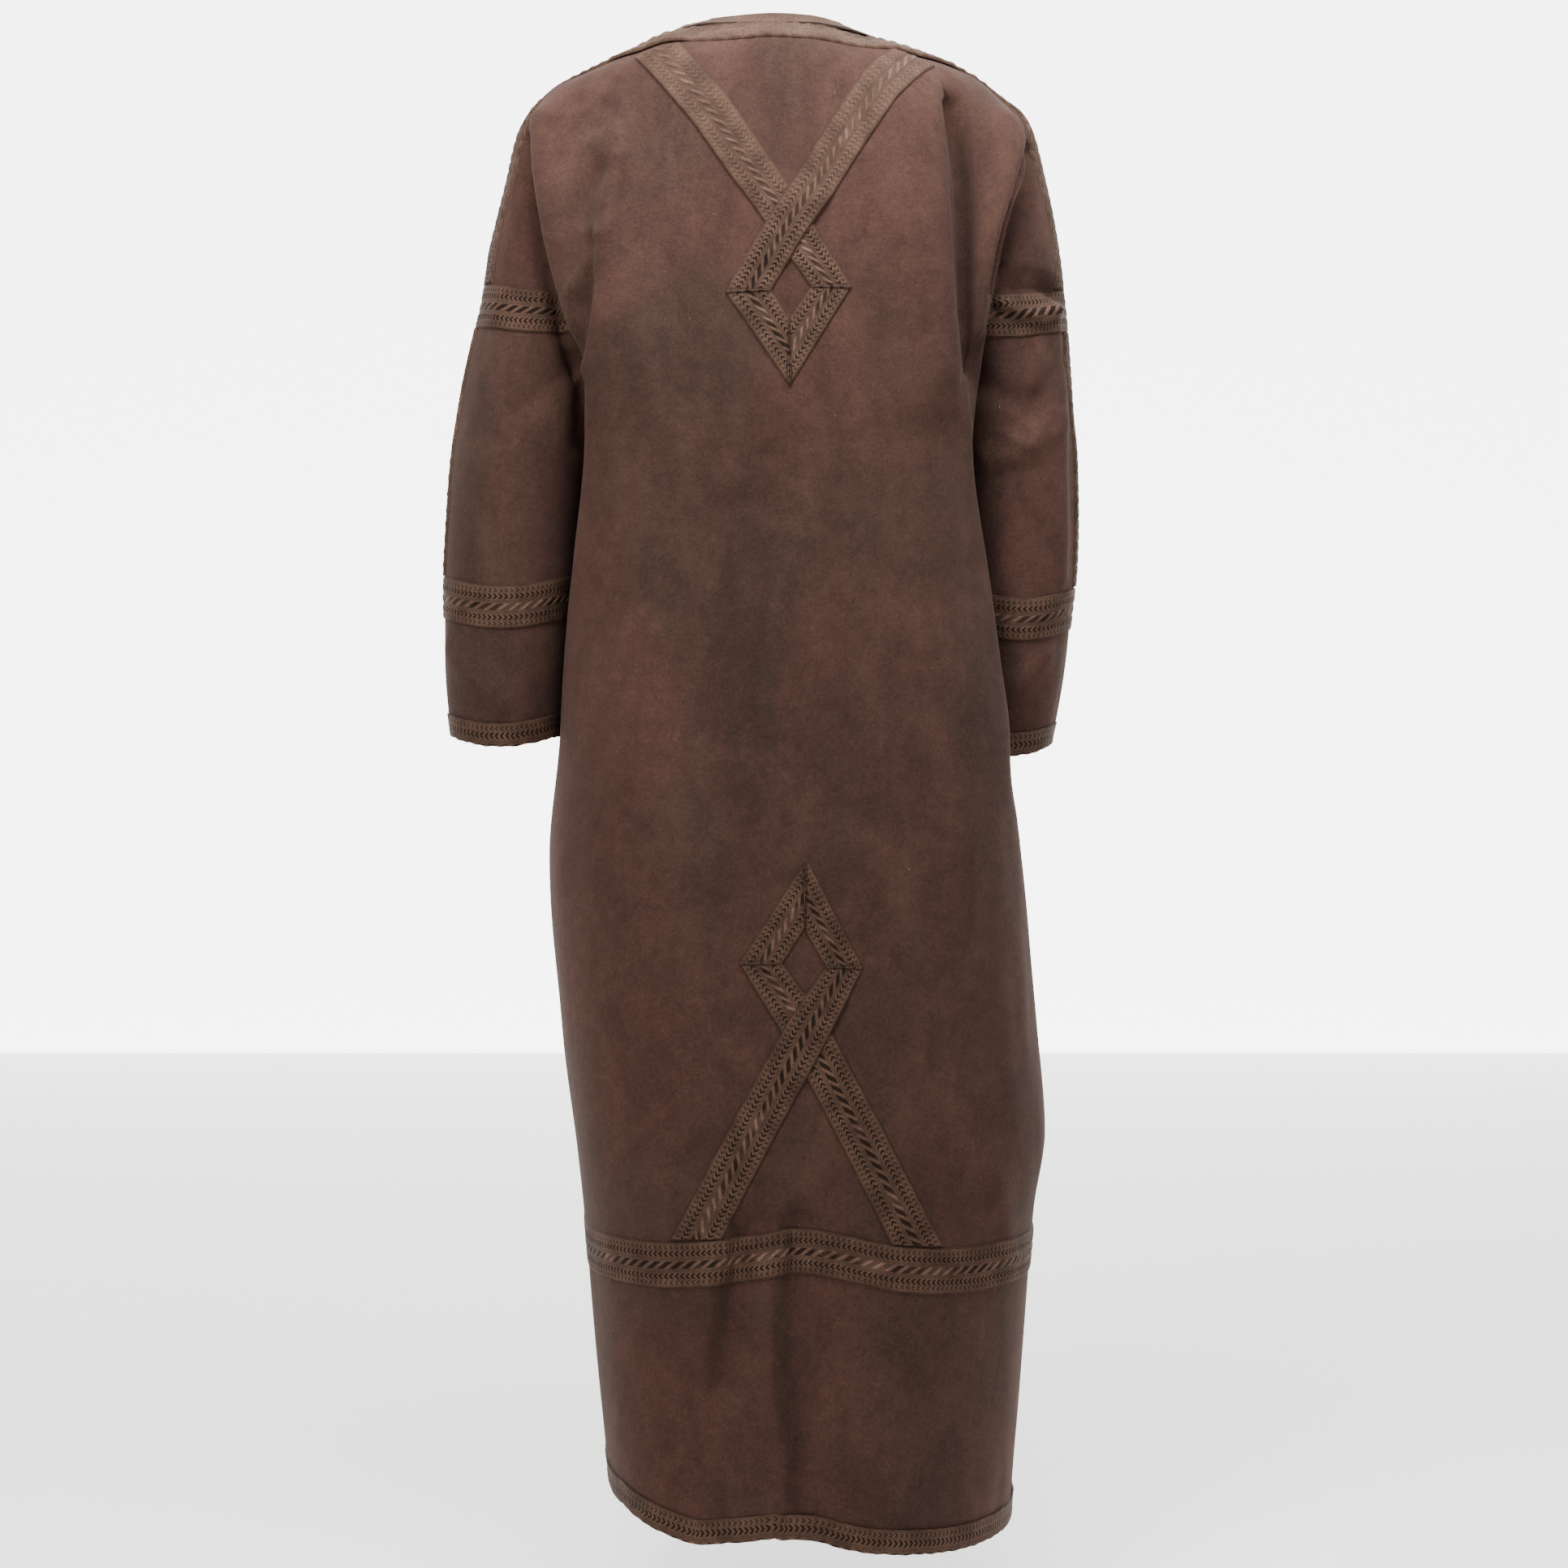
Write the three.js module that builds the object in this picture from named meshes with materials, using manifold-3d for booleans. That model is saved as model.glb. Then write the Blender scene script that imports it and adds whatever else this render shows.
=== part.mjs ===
// Winter thobe, filled out as worn, arms hanging. Millimetres, +Z up, the back faces -Y.
// The origin is the centre of the neck opening at the level of the neck corners.
import * as THREE from "three";
import Module from "manifold-3d";

const solids = await Module();
solids.setup();
const { Manifold, Mesh } = solids;

// Cloth and braid
const WALL = 2.0;
const SEAM_GAP = 0.3;
const BRAID_WIDTH = 38;
const BRAID_THICK = 1.2;
const BINDING_SIDE = 19;
const LIE_GAP = 1.2; // between a panel and a flat braid lying on it

// Heights of the main lines
const ARMPIT = -225;
const HEM = -1325;
const HEM_BAND_TOP = -1077;
const ARM_BAND = { left: -251, right: -255 };
const FOREARM_BAND = { left: -514, right: -523 };
const CUFF = { left: -638, right: -645 };
const ARM_TILT = 0.2; // the arm rings sit lower at the back

// Level rows of the body from the neck to the armpit, and from there to the hem
const UPPER_ROWS = [0, -13, -23, -36, -52, -73, -98, -128, -160, -190, -210, ARMPIT];
const LOWER_ROWS = [-236, -255, -285, -320, -355, -400, -465, -550, -635, -668, -715, -790, -900, -990,
  HEM_BAND_TOP, HEM_BAND_TOP - BRAID_WIDTH, -1215, HEM + BINDING_SIDE + 0.5, HEM];

// Columns in each stretch of a half panel: centre, middle, crest, valley, lump, drape, under, side
const STRETCHES = [2, 2, 2, 1, 2, 2, 2];
const TORSO_COLUMNS = 13;
const ARM_COLUMNS = 8;

// Half sections of the torso's back: how far out (x) and how far back (y) each drape line lies.
const COLUMNS = ["z", "mx", "my", "kx", "ky", "vx", "vy", "lx", "ly", "dx", "dy", "ux", "uy", "sx"];
const TORSO = {
  left: [
    [0, 34, 54, 56, 44, 62, 38, 68, 32, 73, 26, 76.5, 20.5, 79],
    [-13, 43, 73, 79, 61, 89, 53, 98, 44, 105, 35, 111, 27, 116],
    [-33, 60, 104, 107, 88, 121, 77, 134, 65, 145, 51, 153, 38, 160],
    [-50, 66, 115, 126, 101, 145, 89, 160, 77, 175, 59, 185, 43, 192],
    [-75, 70, 119, 134, 109, 156, 97, 178, 86, 200, 67, 209, 50, 215],
    [-95, 72, 121, 137, 113, 160, 101, 188, 92, 212, 72, 217, 55, 220],
    [-135, 74, 123, 140, 117, 164, 106, 190, 100, 212, 82, 215, 67, 209],
    [-175, 75, 124, 147, 119, 170, 109, 190, 106, 206, 90, 205, 76, 189],
    [-205, 75, 124, 152, 119, 172, 111, 188, 107, 200, 94, 190, 80, 158],
    [-225, 74, 124, 154, 119, 171, 112, 184, 106, 195, 94, 146, 68, 129],
    [-236, 74, 124, 155, 119, 170, 112, 182, 106, 192, 94, 144, 68, 124],
    [-250, 73, 124, 155, 119, 168, 112, 180, 105, 189, 93, 144, 68, 123.5],
    [-280, 71, 124, 152, 119, 164, 111, 174, 104, 181, 92, 147, 66, 131],
    [-317, 69, 123, 143, 118, 153, 110, 161, 102, 166, 90, 158, 58, 146],
    [-350, 67, 122, 134, 117, 147, 108, 157, 98, 164, 84, 165, 48, 156],
    [-385, 65, 122, 128, 115, 143, 105, 155, 92, 164, 76, 169, 42, 166],
    [-487, 66, 124, 126, 114, 142, 104, 156, 90, 171, 72, 181.5, 38, 179],
    [-570, 68, 129, 130, 116, 147, 105, 162, 90, 175.5, 71, 187, 37, 186.5],
    [-640, 70, 134, 134, 119, 152, 106, 167, 90, 180, 70, 191.5, 36, 192],
    [-746, 74, 143, 141, 126, 160, 113, 176, 95, 191, 73, 202, 38, 205],
    [-900, 74, 153, 138, 133, 155, 119, 169, 101, 181, 77, 190, 40, 193],
    [-1060, 72, 165, 130, 141, 144, 126, 155, 107, 164, 82, 171, 42, 173],
    [-1200, 70, 174, 124, 147, 137, 131, 147, 110, 155, 84, 160, 43, 161.5],
    [-1330, 67, 182, 118, 152, 129, 134, 138, 112, 144, 85, 148, 43, 148],
  ],
  right: [
    [0, 34, 54, 56, 44, 62, 38, 68, 32, 73, 26, 76.5, 20.5, 80],
    [-13, 43, 73, 77, 61, 87, 53, 96, 44, 102, 35, 108, 27, 112],
    [-33, 60, 104, 110, 89, 122, 77, 135, 65, 147, 52, 155, 38, 162],
    [-50, 66, 115, 128, 103, 143, 90, 158, 79, 174, 61, 184, 44, 191],
    [-75, 70, 119, 140, 112, 149, 100, 172, 92, 198, 70, 208, 50, 214],
    [-95, 72, 121, 143, 116, 152, 100, 176, 98, 214, 76, 219, 56, 220],
    [-135, 74, 123, 146, 121, 154.5, 100, 180, 104, 219, 84, 222, 68, 214],
    [-175, 75, 125, 148, 124, 156, 100, 180, 108, 210, 92, 208, 78, 194],
    [-205, 75, 125, 150, 125, 157.5, 101, 179, 109, 202, 97, 192, 82, 161],
    [-225, 75, 125, 151, 125, 158, 101, 178, 109, 197, 98, 148, 70, 132],
    [-236, 75, 125, 152, 125, 158.5, 101, 177, 108, 195, 98, 147, 70, 127],
    [-250, 74, 125, 154, 124, 159.5, 102, 176, 108, 192, 97, 147, 70, 126],
    [-280, 73, 125, 156, 122, 161, 103, 174, 106, 186, 95, 149, 66, 132],
    [-317, 72, 124, 159, 119, 164.5, 104, 172, 102, 180, 92, 155, 62, 143],
    [-350, 70, 123, 155, 118, 164, 106, 171, 98, 176, 86, 160, 58, 148],
    [-385, 68, 123, 140, 117, 156, 107, 167, 95, 173.5, 80, 168, 52, 154],
    [-487, 70, 126, 140, 117, 159, 106, 174, 92, 187, 76, 183, 46, 166],
    [-570, 72, 132, 146, 122, 167, 110, 184, 95, 198, 76, 194, 46, 168],
    [-640, 74, 137, 152, 126, 174, 113, 192, 98, 207, 78, 204, 44, 170],
    [-668, 75, 139, 153, 127, 175, 113, 193, 98, 208, 77, 206, 43, 171],
    [-715, 76, 141, 156, 128, 178, 114, 196, 98, 211, 76, 217, 40, 202],
    [-780, 79, 146, 159, 129, 182, 115, 201, 97, 216, 73, 225, 38, 223],
    [-900, 82, 153, 164, 133, 188, 118, 208, 99, 224, 75, 234, 39, 237],
    [-993, 84, 160, 168, 139, 192, 123, 213, 104, 230, 78, 241, 40, 244],
    [-1060, 82, 165, 160, 143, 183, 127, 203, 107, 220, 80, 231, 41, 234],
    [-1200, 78, 174, 152, 150, 174, 133, 193, 111, 209, 83, 220, 43, 224.5],
    [-1330, 75, 182, 144, 156, 165, 138, 183, 115, 198, 86, 209, 44, 213],
  ],
};

// How far back the centre of the back lies, and how deep the front is next to the back.
const CENTRE = [
  ["z", "back", "frontShare"],
  [0, 62, 1], [-13, 79, 1], [-23, 96, 1], [-33, 110, 1], [-50, 116, 0.99], [-75, 120, 0.98],
  [-135, 124, 0.96], [-225, 125, 0.96], [-317, 124, 0.96], [-385, 122.5, 0.95],
  [-487, 126, 0.94], [-570, 132, 0.92], [-640, 137, 0.91], [-746, 146, 0.88],
  [-900, 156, 0.86], [-1060, 169, 0.83], [-1200, 178, 0.81], [-1330, 187, 0.8],
];

// The arm's rings: outer line, half width, half depth, how far forward, and the angle in degrees
// at which the torso's cloth leaves the ring above the armpit.
const ARM_NAMES = ["z", "outer", "half", "depth", "forward", "leave"];
const ARM = {
  left: [
    [0, 83, 30, 30, 0, 150], [-13, 120, 38, 37, 0, 150], [-33, 168, 60, 50, 0, 150],
    [-50, 200, 62, 51, 0, 148], [-60, 209.5, 62, 51, 0, 147], [-75, 223, 62, 52, 0, 145],
    [-95, 234, 63, 54, 0, 138], [-135, 243, 65, 58, 0, 118], [-175, 252.5, 66.25, 62, 0, 92],
    [-205, 259.5, 66.75, 64, 0, 58], [-216, 261, 66.75, 64.5, 0, 32], [-225, 262.5, 66.75, 65, 0, 0],
    [-250, 266.5, 66.75, 65, 0, 0], [-280, 274.5, 66.75, 65, 0, 0], [-317, 283, 66, 65, 0, 0],
    [-350, 289, 64, 65, 0, 0], [-385, 294, 62, 66, 0, 0], [-440, 298, 60, 65, 1, 0],
    [-508, 301, 58, 64, 2, 0], [-570, 301, 55.5, 61, 4, 0], [-620, 298, 51, 56, 6, 0],
    [-660, 292, 48, 51, 8, 0],
  ],
  right: [
    [0, 84, 30, 30, 0, 150], [-13, 116, 36, 36, 0, 150], [-33, 171, 60, 50, 0, 150],
    [-50, 200, 62, 51, 0, 148], [-60, 211, 62, 51, 0, 147], [-75, 225, 62, 52, 0, 145],
    [-95, 235, 63, 54, 0, 138], [-135, 244.5, 63, 58, 0, 118], [-175, 253, 64, 62, 0, 92],
    [-205, 258, 64, 64, 0, 58], [-216, 259.5, 64.25, 64.5, 0, 32], [-225, 260.5, 64.25, 65, 0, 0],
    [-250, 263, 64, 66, 0, 0], [-280, 265.5, 62.25, 67, 1, 0], [-317, 268, 59.75, 68, 3, 0],
    [-350, 270.5, 58.25, 69, 6, 0], [-385, 274.5, 57.25, 70, 10, 0], [-440, 276, 55, 70, 15, 0],
    [-487, 275, 52.5, 70, 20, 0], [-530, 271, 49.5, 69, 23, 0], [-570, 267, 47.5, 67, 25, 0],
    [-620, 259, 43, 62, 27, 0], [-660, 250, 40, 58, 28, 0],
  ],
};

// How the level lines of the skirt hang above (+) or below (-) their row, at the drape lines.
const SAG_NAMES = ["z", "c", "m", "k", "v", "l", "d", "u", "s"];
const SAG = {
  left: [
    [-600, 0, 0, 0, 0, 0, 0, 0, 0], [-1096, 9, 1, -4, -5, -6, -6, -3, 0],
    [-1325, 5, 0, 16, 21, 23, 26, 30, 34],
  ],
  right: [
    [-600, 0, 0, 0, 0, 0, 0, 0, 0], [-1096, 9, 1, -4, -5, -5, -5, -5, -5],
    [-1325, 3, -7, -14, -15, -15, -15, -16, -16],
  ],
};

// Soft folds of the back: path (x, z), height out of the cloth and half width
const BACK_FOLDS = [
  { path: [[-21, -334], [-41, -422]], height: 3, width: 16 },
  { path: [[-4, -444], [2, -553], [3, -662]], height: -3.5, width: 22 },
  { path: [[-150, -92], [-172, -112], [-185, -140]], height: -4, width: 12 },
  { path: [[-135, -120], [-150, -185], [-160, -225]], height: 4, width: 11 },
  { path: [[82, -744], [105, -785], [112, -825]], height: 4, width: 18 },
  { path: [[-31, -1072], [-48, -1186]], height: -4.5, width: 18 },
  { path: [[10, -1072], [14, -1275]], height: -5, width: 20 },
  { path: [[190, -1008], [203, -1055], [204, -1094]], height: 4, width: 12 },
  { path: [[-110, -560], [-104, -760], [-96, -1000], [-92, -1320]], height: 5, width: 26 },
  { path: [[118, -640], [126, -860], [112, -1100], [104, -1320]], height: 5, width: 28 },
];
const FRONT_FOLDS = [
  { path: [[-60, -260], [-66, -560], [-58, -900], [-54, -1320]], height: 5, width: 24 },
  { path: [[58, -230], [66, -620], [76, -980], [82, -1320]], height: 5, width: 26 },
  { path: [[0, -300], [6, -700], [4, -1320]], height: -4, width: 26 },
];
// Folds of the sleeves: path (angle from the inner side round by the back, z)
const SLEEVE_FOLDS = {
  left: [
    { path: [[60, -300], [95, -345]], height: -3, width: 12 },
    { path: [[110, -380], [80, -450]], height: 3, width: 14 },
    { path: [[150, -560], [85, -600]], height: 3, width: 12 },
  ],
  right: [
    { path: [[70, -318], [105, -335], [150, -300]], height: -3.5, width: 11 },
    { path: [[60, -384], [100, -372], [140, -352]], height: 4, width: 11 },
    { path: [[120, -560], [70, -590]], height: 3, width: 12 },
  ],
};

// ---------------------------------------------------------------- curves through tables
function smoothAt(rows, column, z) {
  const count = rows.length;
  if (z >= rows[0][0]) return rows[0][column];
  if (z <= rows[count - 1][0]) return rows[count - 1][column];
  let i = 0;
  while (rows[i + 1][0] > z) i += 1;
  const slope = (j) => (rows[j + 1][column] - rows[j][column]) / (rows[j + 1][0] - rows[j][0]);
  const tangent = (j) => {
    if (j === 0) return slope(0);
    if (j === count - 1) return slope(count - 2);
    const before = slope(j - 1);
    const after = slope(j);
    return before * after <= 0 ? 0 : (2 * before * after) / (before + after);
  };
  const step = rows[i + 1][0] - rows[i][0];
  const t = (z - rows[i][0]) / step;
  const t2 = t * t;
  const t3 = t2 * t;
  return (2 * t3 - 3 * t2 + 1) * rows[i][column] + (t3 - 2 * t2 + t) * step * tangent(i)
    + (3 * t2 - 2 * t3) * rows[i + 1][column] + (t3 - t2) * step * tangent(i + 1);
}

function named(rows, names, name, z) {
  return smoothAt(rows, names.indexOf(name), z);
}

const CENTRE_ROWS = CENTRE.slice(1);

// The ring of an arm at a height: centre, half width, half depth
function armRing(side, z) {
  const at = (name) => named(ARM[side], ARM_NAMES, name, z);
  const half = at("half");
  return { x: at("outer") - half, y: at("forward"), half, depth: at("depth"), leave: at("leave") };
}

// A point of the arm's ring, angle 0 inner, 90 back, 180 outer; x is counted outwards
function armPoint(side, z, degrees) {
  const ring = armRing(side, z);
  const a = (degrees * Math.PI) / 180;
  let grow = 0;
  for (const fold of SLEEVE_FOLDS[side]) {
    const path = fold.path.map(([angle, height]) => [angle * 1.1, height]);
    grow += foldHeight(degrees * 1.1, z, path, fold);
  }
  return [ring.x - (ring.half + grow) * Math.cos(a), ring.y - (ring.depth + grow) * Math.sin(a)];
}

// The arm rings hang lower at the back
function armDrop(ring, y) {
  return y < ring.y ? (ARM_TILT * (y - ring.y) ** 2) / ring.depth : 0;
}

function foldHeight(x, z, path, fold) {
  let nearest = Infinity;
  for (let i = 0; i + 1 < path.length; i += 1) {
    const [ax, az] = path[i];
    const [bx, bz] = path[i + 1];
    const dx = bx - ax;
    const dz = bz - az;
    const t = Math.min(1, Math.max(0, ((x - ax) * dx + (z - az) * dz) / (dx * dx + dz * dz)));
    nearest = Math.min(nearest, Math.hypot(x - ax - t * dx, z - az - t * dz));
  }
  return fold.height * Math.exp(-((nearest / fold.width) ** 2));
}

// The drape lines of the half section at a height, from the centre to the side, x outwards
function drapePoints(side, z) {
  const at = (name) => named(TORSO[side], COLUMNS, name, z);
  const points = [[0, -smoothAt(CENTRE_ROWS, 1, z)]];
  for (const name of ["m", "k", "v", "l", "d", "u"]) points.push([at(name + "x"), -at(name + "y")]);
  if (z > ARMPIT) points.push(armPoint(side, z, armRing(side, z).leave));
  else points.push([at("sx"), 0]);
  return points;
}

// A smooth curve through the drape lines; stretch is the whole part, share the rest
function alongSection(points, ghosts, stretch, share) {
  const all = [ghosts[0], ...points, ghosts[1]];
  const span = (i) => Math.hypot(all[i + 1][0] - all[i][0], all[i + 1][1] - all[i][1]);
  const tangent = (i, axis) => {
    const a = span(i - 1);
    const b = span(i);
    const before = (all[i][axis] - all[i - 1][axis]) / a;
    const after = (all[i + 1][axis] - all[i][axis]) / b;
    return (before * b + after * a) / (a + b);
  };
  const i = stretch + 1;
  const length = span(i);
  const t = share;
  const t2 = t * t;
  const t3 = t2 * t;
  return [0, 1].map((axis) => (2 * t3 - 3 * t2 + 1) * all[i][axis]
    + (t3 - 2 * t2 + t) * length * tangent(i, axis)
    + (3 * t2 - 2 * t3) * all[i + 1][axis]
    + (t3 - t2) * length * tangent(i + 1, axis));
}

const OTHER = { left: "right", right: "left" };

// A point of the torso's back half section; column runs from 0 at the centre to 13 at the side
function torsoPoint(side, z, column) {
  const points = drapePoints(side, z);
  const across = drapePoints(OTHER[side], z)[1];
  const last = points[points.length - 1];
  const before = points[points.length - 2];
  const end = z > ARMPIT ? [2 * last[0] - before[0], 2 * last[1] - before[1]] : [before[0], -before[1]];
  let stretch = 0;
  let rest = column;
  while (stretch < STRETCHES.length - 1 && rest >= STRETCHES[stretch]) {
    rest -= STRETCHES[stretch];
    stretch += 1;
  }
  return alongSection(points, [[-across[0], across[1]], end], stretch, rest / STRETCHES[stretch]);
}

function sagAt(side, z, column) {
  const knots = [0];
  for (const count of STRETCHES) knots.push(knots[knots.length - 1] + count);
  let i = 0;
  while (i < STRETCHES.length - 1 && column > knots[i + 1]) i += 1;
  const share = Math.min(1, (column - knots[i]) / STRETCHES[i]);
  const at = (n) => (z > -600 ? 0 : smoothAt(SAG[side], n + 1, z));
  return at(i) * (1 - share) + at(i + 1) * share;
}

// The right arm lies forward and presses the front in beside it (how far, at each drape line)
const PRESS_NAMES = ["z", "v", "l", "d", "u", "s"];
const PRESS = [
  [-340, 0, 0, 0, 0, 0], [-400, 0, 0, 3, 9, 0], [-465, 0, 2, 10, 18, 0], [-550, 0, 6, 22, 28, 0],
  [-635, 2, 10, 32, 40, 0], [-668, 2, 10, 32, 40, 0], [-730, 0, 0, 0, 0, 0],
];

function pressAt(z, column) {
  if (column < 4) return 0;
  const knots = [4, 6, 7, 9, 11, 13];
  let i = 0;
  while (i < 4 && column > knots[i + 1]) i += 1;
  const share = (column - knots[i]) / (knots[i + 1] - knots[i]);
  const at = (n) => (n === 0 ? 0 : smoothAt(PRESS, n, z));
  return at(i) * (1 - share) + at(i + 1) * share;
}

// The front neck: how far each column's top is moved from the back's neck line (x, z)
const SCOOP = [
  ["column", "x", "z"],
  [0, 0, -108], [1, 5, -103], [2, 10, -88], [3, 10, -62], [4, 8, -38], [5, 6, -23],
  [6, 4, -12], [7, 2, -6], [8, 1, -2], [9, 0, 0],
];

function backDepth(side, x, z) {
  let low = 0;
  let high = 8.99;
  for (let i = 0; i < 24; i += 1) {
    const middle = (low + high) / 2;
    if (torsoPoint(side, z, middle)[0] < x) low = middle;
    else high = middle;
  }
  return { depth: -torsoPoint(side, z, low)[1], column: low };
}

function frontShare(z, column) {
  const fade = Math.min(1, Math.max(0, (TORSO_COLUMNS - 2 - column) / 6));
  return 1 + (smoothAt(CENTRE_ROWS, 2, z) - 1) * fade;
}

// A point of a panel before it gets its seam gap
function panelPoint(sheet, side, z, column) {
  const sign = side === "left" ? -1 : 1;
  const face = sheet === "back" ? 1 : -1;
  if (column > TORSO_COLUMNS) {
    const ring = armRing(side, z);
    const share = (column - TORSO_COLUMNS) / ARM_COLUMNS;
    const degrees = ring.leave + (180 - ring.leave) * share;
    const [x, y] = armPoint(side, z, degrees);
    const drop = z < ARMPIT && sheet === "back" ? armDrop(ring, y) : 0;
    return [sign * x, ring.y + face * (y - ring.y), z - drop];
  }
  let [x, y] = torsoPoint(side, z, column);
  let height = z;
  if (sheet === "front" && z > ARMPIT && column < 9) {
    const move = (1 - z / ARMPIT) ** 2;
    const i = Math.min(8, Math.floor(column));
    const part = column - i;
    const shift = (axis) => SCOOP[i + 1][axis] * (1 - part) + SCOOP[i + 2][axis] * part;
    height = z + shift(2) * move;
    x += shift(1) * move;
    y = -backDepth(side, x, height).depth;
  }
  if (sheet === "front") y *= frontShare(height, column);
  if (sheet === "front" && side === "right") x -= pressAt(z, column);
  const folds = sheet === "back" ? BACK_FOLDS : FRONT_FOLDS;
  const calm = Math.min(1, Math.max(0, (11 - column) / 3));
  for (const fold of folds) y -= calm * foldHeight(sign * x, height, fold.path, fold);
  let sag = sagAt(side, z, column);
  if (sheet === "front") {
    const share = column / TORSO_COLUMNS;
    const middle = (sagAt("left", z, TORSO_COLUMNS) + sagAt("right", z, TORSO_COLUMNS)) / 2;
    sag = sagAt(side, z, TORSO_COLUMNS) * share + middle * (1 - share);
  }
  if (sheet === "back") sag += hemRise(sign * x, height);
  return [sign * x, face * y, height + sag];
}

const smoothStep = (value, low, high) => {
  const t = Math.min(1, Math.max(0, (value - low) / (high - low)));
  return t * t * (3 - 2 * t);
};

// The back of the hem is drawn up a little where its binding is joined
function hemRise(x, z) {
  return 5.5 * Math.exp(-(((x - 30) / 26) ** 2)) * Math.min(1, Math.max(0, (-1160 - z) / 165));
}

// The shoulders settle below their drape lines: out from where and back to where, and how far
const SETTLE = {
  left: [92, 125, 170, 215, 4.5],
  right: [30, 80, 195, 235, 6],
};

function settleAt(x, z) {
  const [a, b, c, d, drop] = SETTLE[x < 0 ? "left" : "right"];
  const out = Math.abs(x);
  return drop * smoothStep(out, a, b) * (1 - smoothStep(out, c, d)) * smoothStep(z, -130, -60);
}

// The shoulders settle, and the left neck corner stands up a little, where the cloth is crumpled
function crumple(point) {
  const near = Math.hypot(point[0] + 85, point[1], point[2]);
  const drop = settleAt(point[0], point[2]);
  return [point[0], point[1], point[2] - drop + 5 * Math.exp(-((near / 22) ** 2))];
}

// ---------------------------------------------------------------- grids and shells
const vector = (p) => new THREE.Vector3(p[0], p[1], p[2]);

function newSheet() {
  return { points: [], faces: [], seams: new Set(), flat: new Set() };
}

function addQuad(sheet, a, b, c, d) {
  sheet.faces.push([a, b, c], [a, c, d]);
}

function vertexNormals(sheet) {
  const normals = sheet.points.map(() => new THREE.Vector3());
  for (const [a, b, c] of sheet.faces) {
    const [pa, pb, pc] = [sheet.points[a], sheet.points[b], sheet.points[c]];
    const normal = pb.clone().sub(pa).cross(pc.clone().sub(pa)).normalize();
    for (const [at, next, prev] of [[a, pb, pc], [b, pc, pa], [c, pa, pb]]) {
      const angle = next.clone().sub(sheet.points[at]).angleTo(prev.clone().sub(sheet.points[at]));
      normals[at].addScaledVector(normal, angle);
    }
  }
  normals.forEach((normal, i) => {
    if (sheet.seams.has(i)) normal.y = 0;
    if (sheet.flat.has(i)) normal.z = 0;
    if (normal.length() < 1e-6) normal.set(0, 0, 1);
    normal.normalize();
  });
  return normals;
}

// A closed wall: the sheet, its copy set inwards, and rims along the free edges
function wallFrom(sheet, thickness) {
  const normals = vertexNormals(sheet);
  const count = sheet.points.length;
  const inner = sheet.points.map((p, i) => p.clone().addScaledVector(normals[i], -thickness));
  const faces = [...sheet.faces];
  for (const [a, b, c] of sheet.faces) faces.push([a + count, c + count, b + count]);
  const edges = new Map();
  for (const face of sheet.faces) {
    for (let i = 0; i < 3; i += 1) {
      const [a, b] = [face[i], face[(i + 1) % 3]];
      if (edges.has(`${b},${a}`)) edges.delete(`${b},${a}`);
      else edges.set(`${a},${b}`, [a, b]);
    }
  }
  for (const [a, b] of edges.values()) {
    faces.push([b, a, a + count], [b, a + count, b + count]);
  }
  return { points: [...sheet.points, ...inner], faces };
}

function geometryOf(solid) {
  const geometry = new THREE.BufferGeometry();
  geometry.setAttribute("position",
    new THREE.Float32BufferAttribute(solid.points.flatMap((p) => [p.x, p.y, p.z]), 3));
  geometry.setIndex(solid.faces.flat());
  geometry.computeVertexNormals();
  return geometry;
}

const group = new THREE.Group();
const CLOTH_COLOUR = 0x4a342c;
const BRAID_COLOUR = 0x63493b;

function addPart(name, solid, colour) {
  const material = new THREE.MeshStandardMaterial({ color: colour, roughness: 0.9, metalness: 0 });
  const mesh = new THREE.Mesh(geometryOf(solid), material);
  mesh.name = name;
  group.add(mesh);
}

// ---------------------------------------------------------------- the two body panels
const ALL_COLUMNS = TORSO_COLUMNS + ARM_COLUMNS;

function armEnd(side) {
  return ARM_BAND[side] + SEAM_GAP / 2;
}

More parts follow.
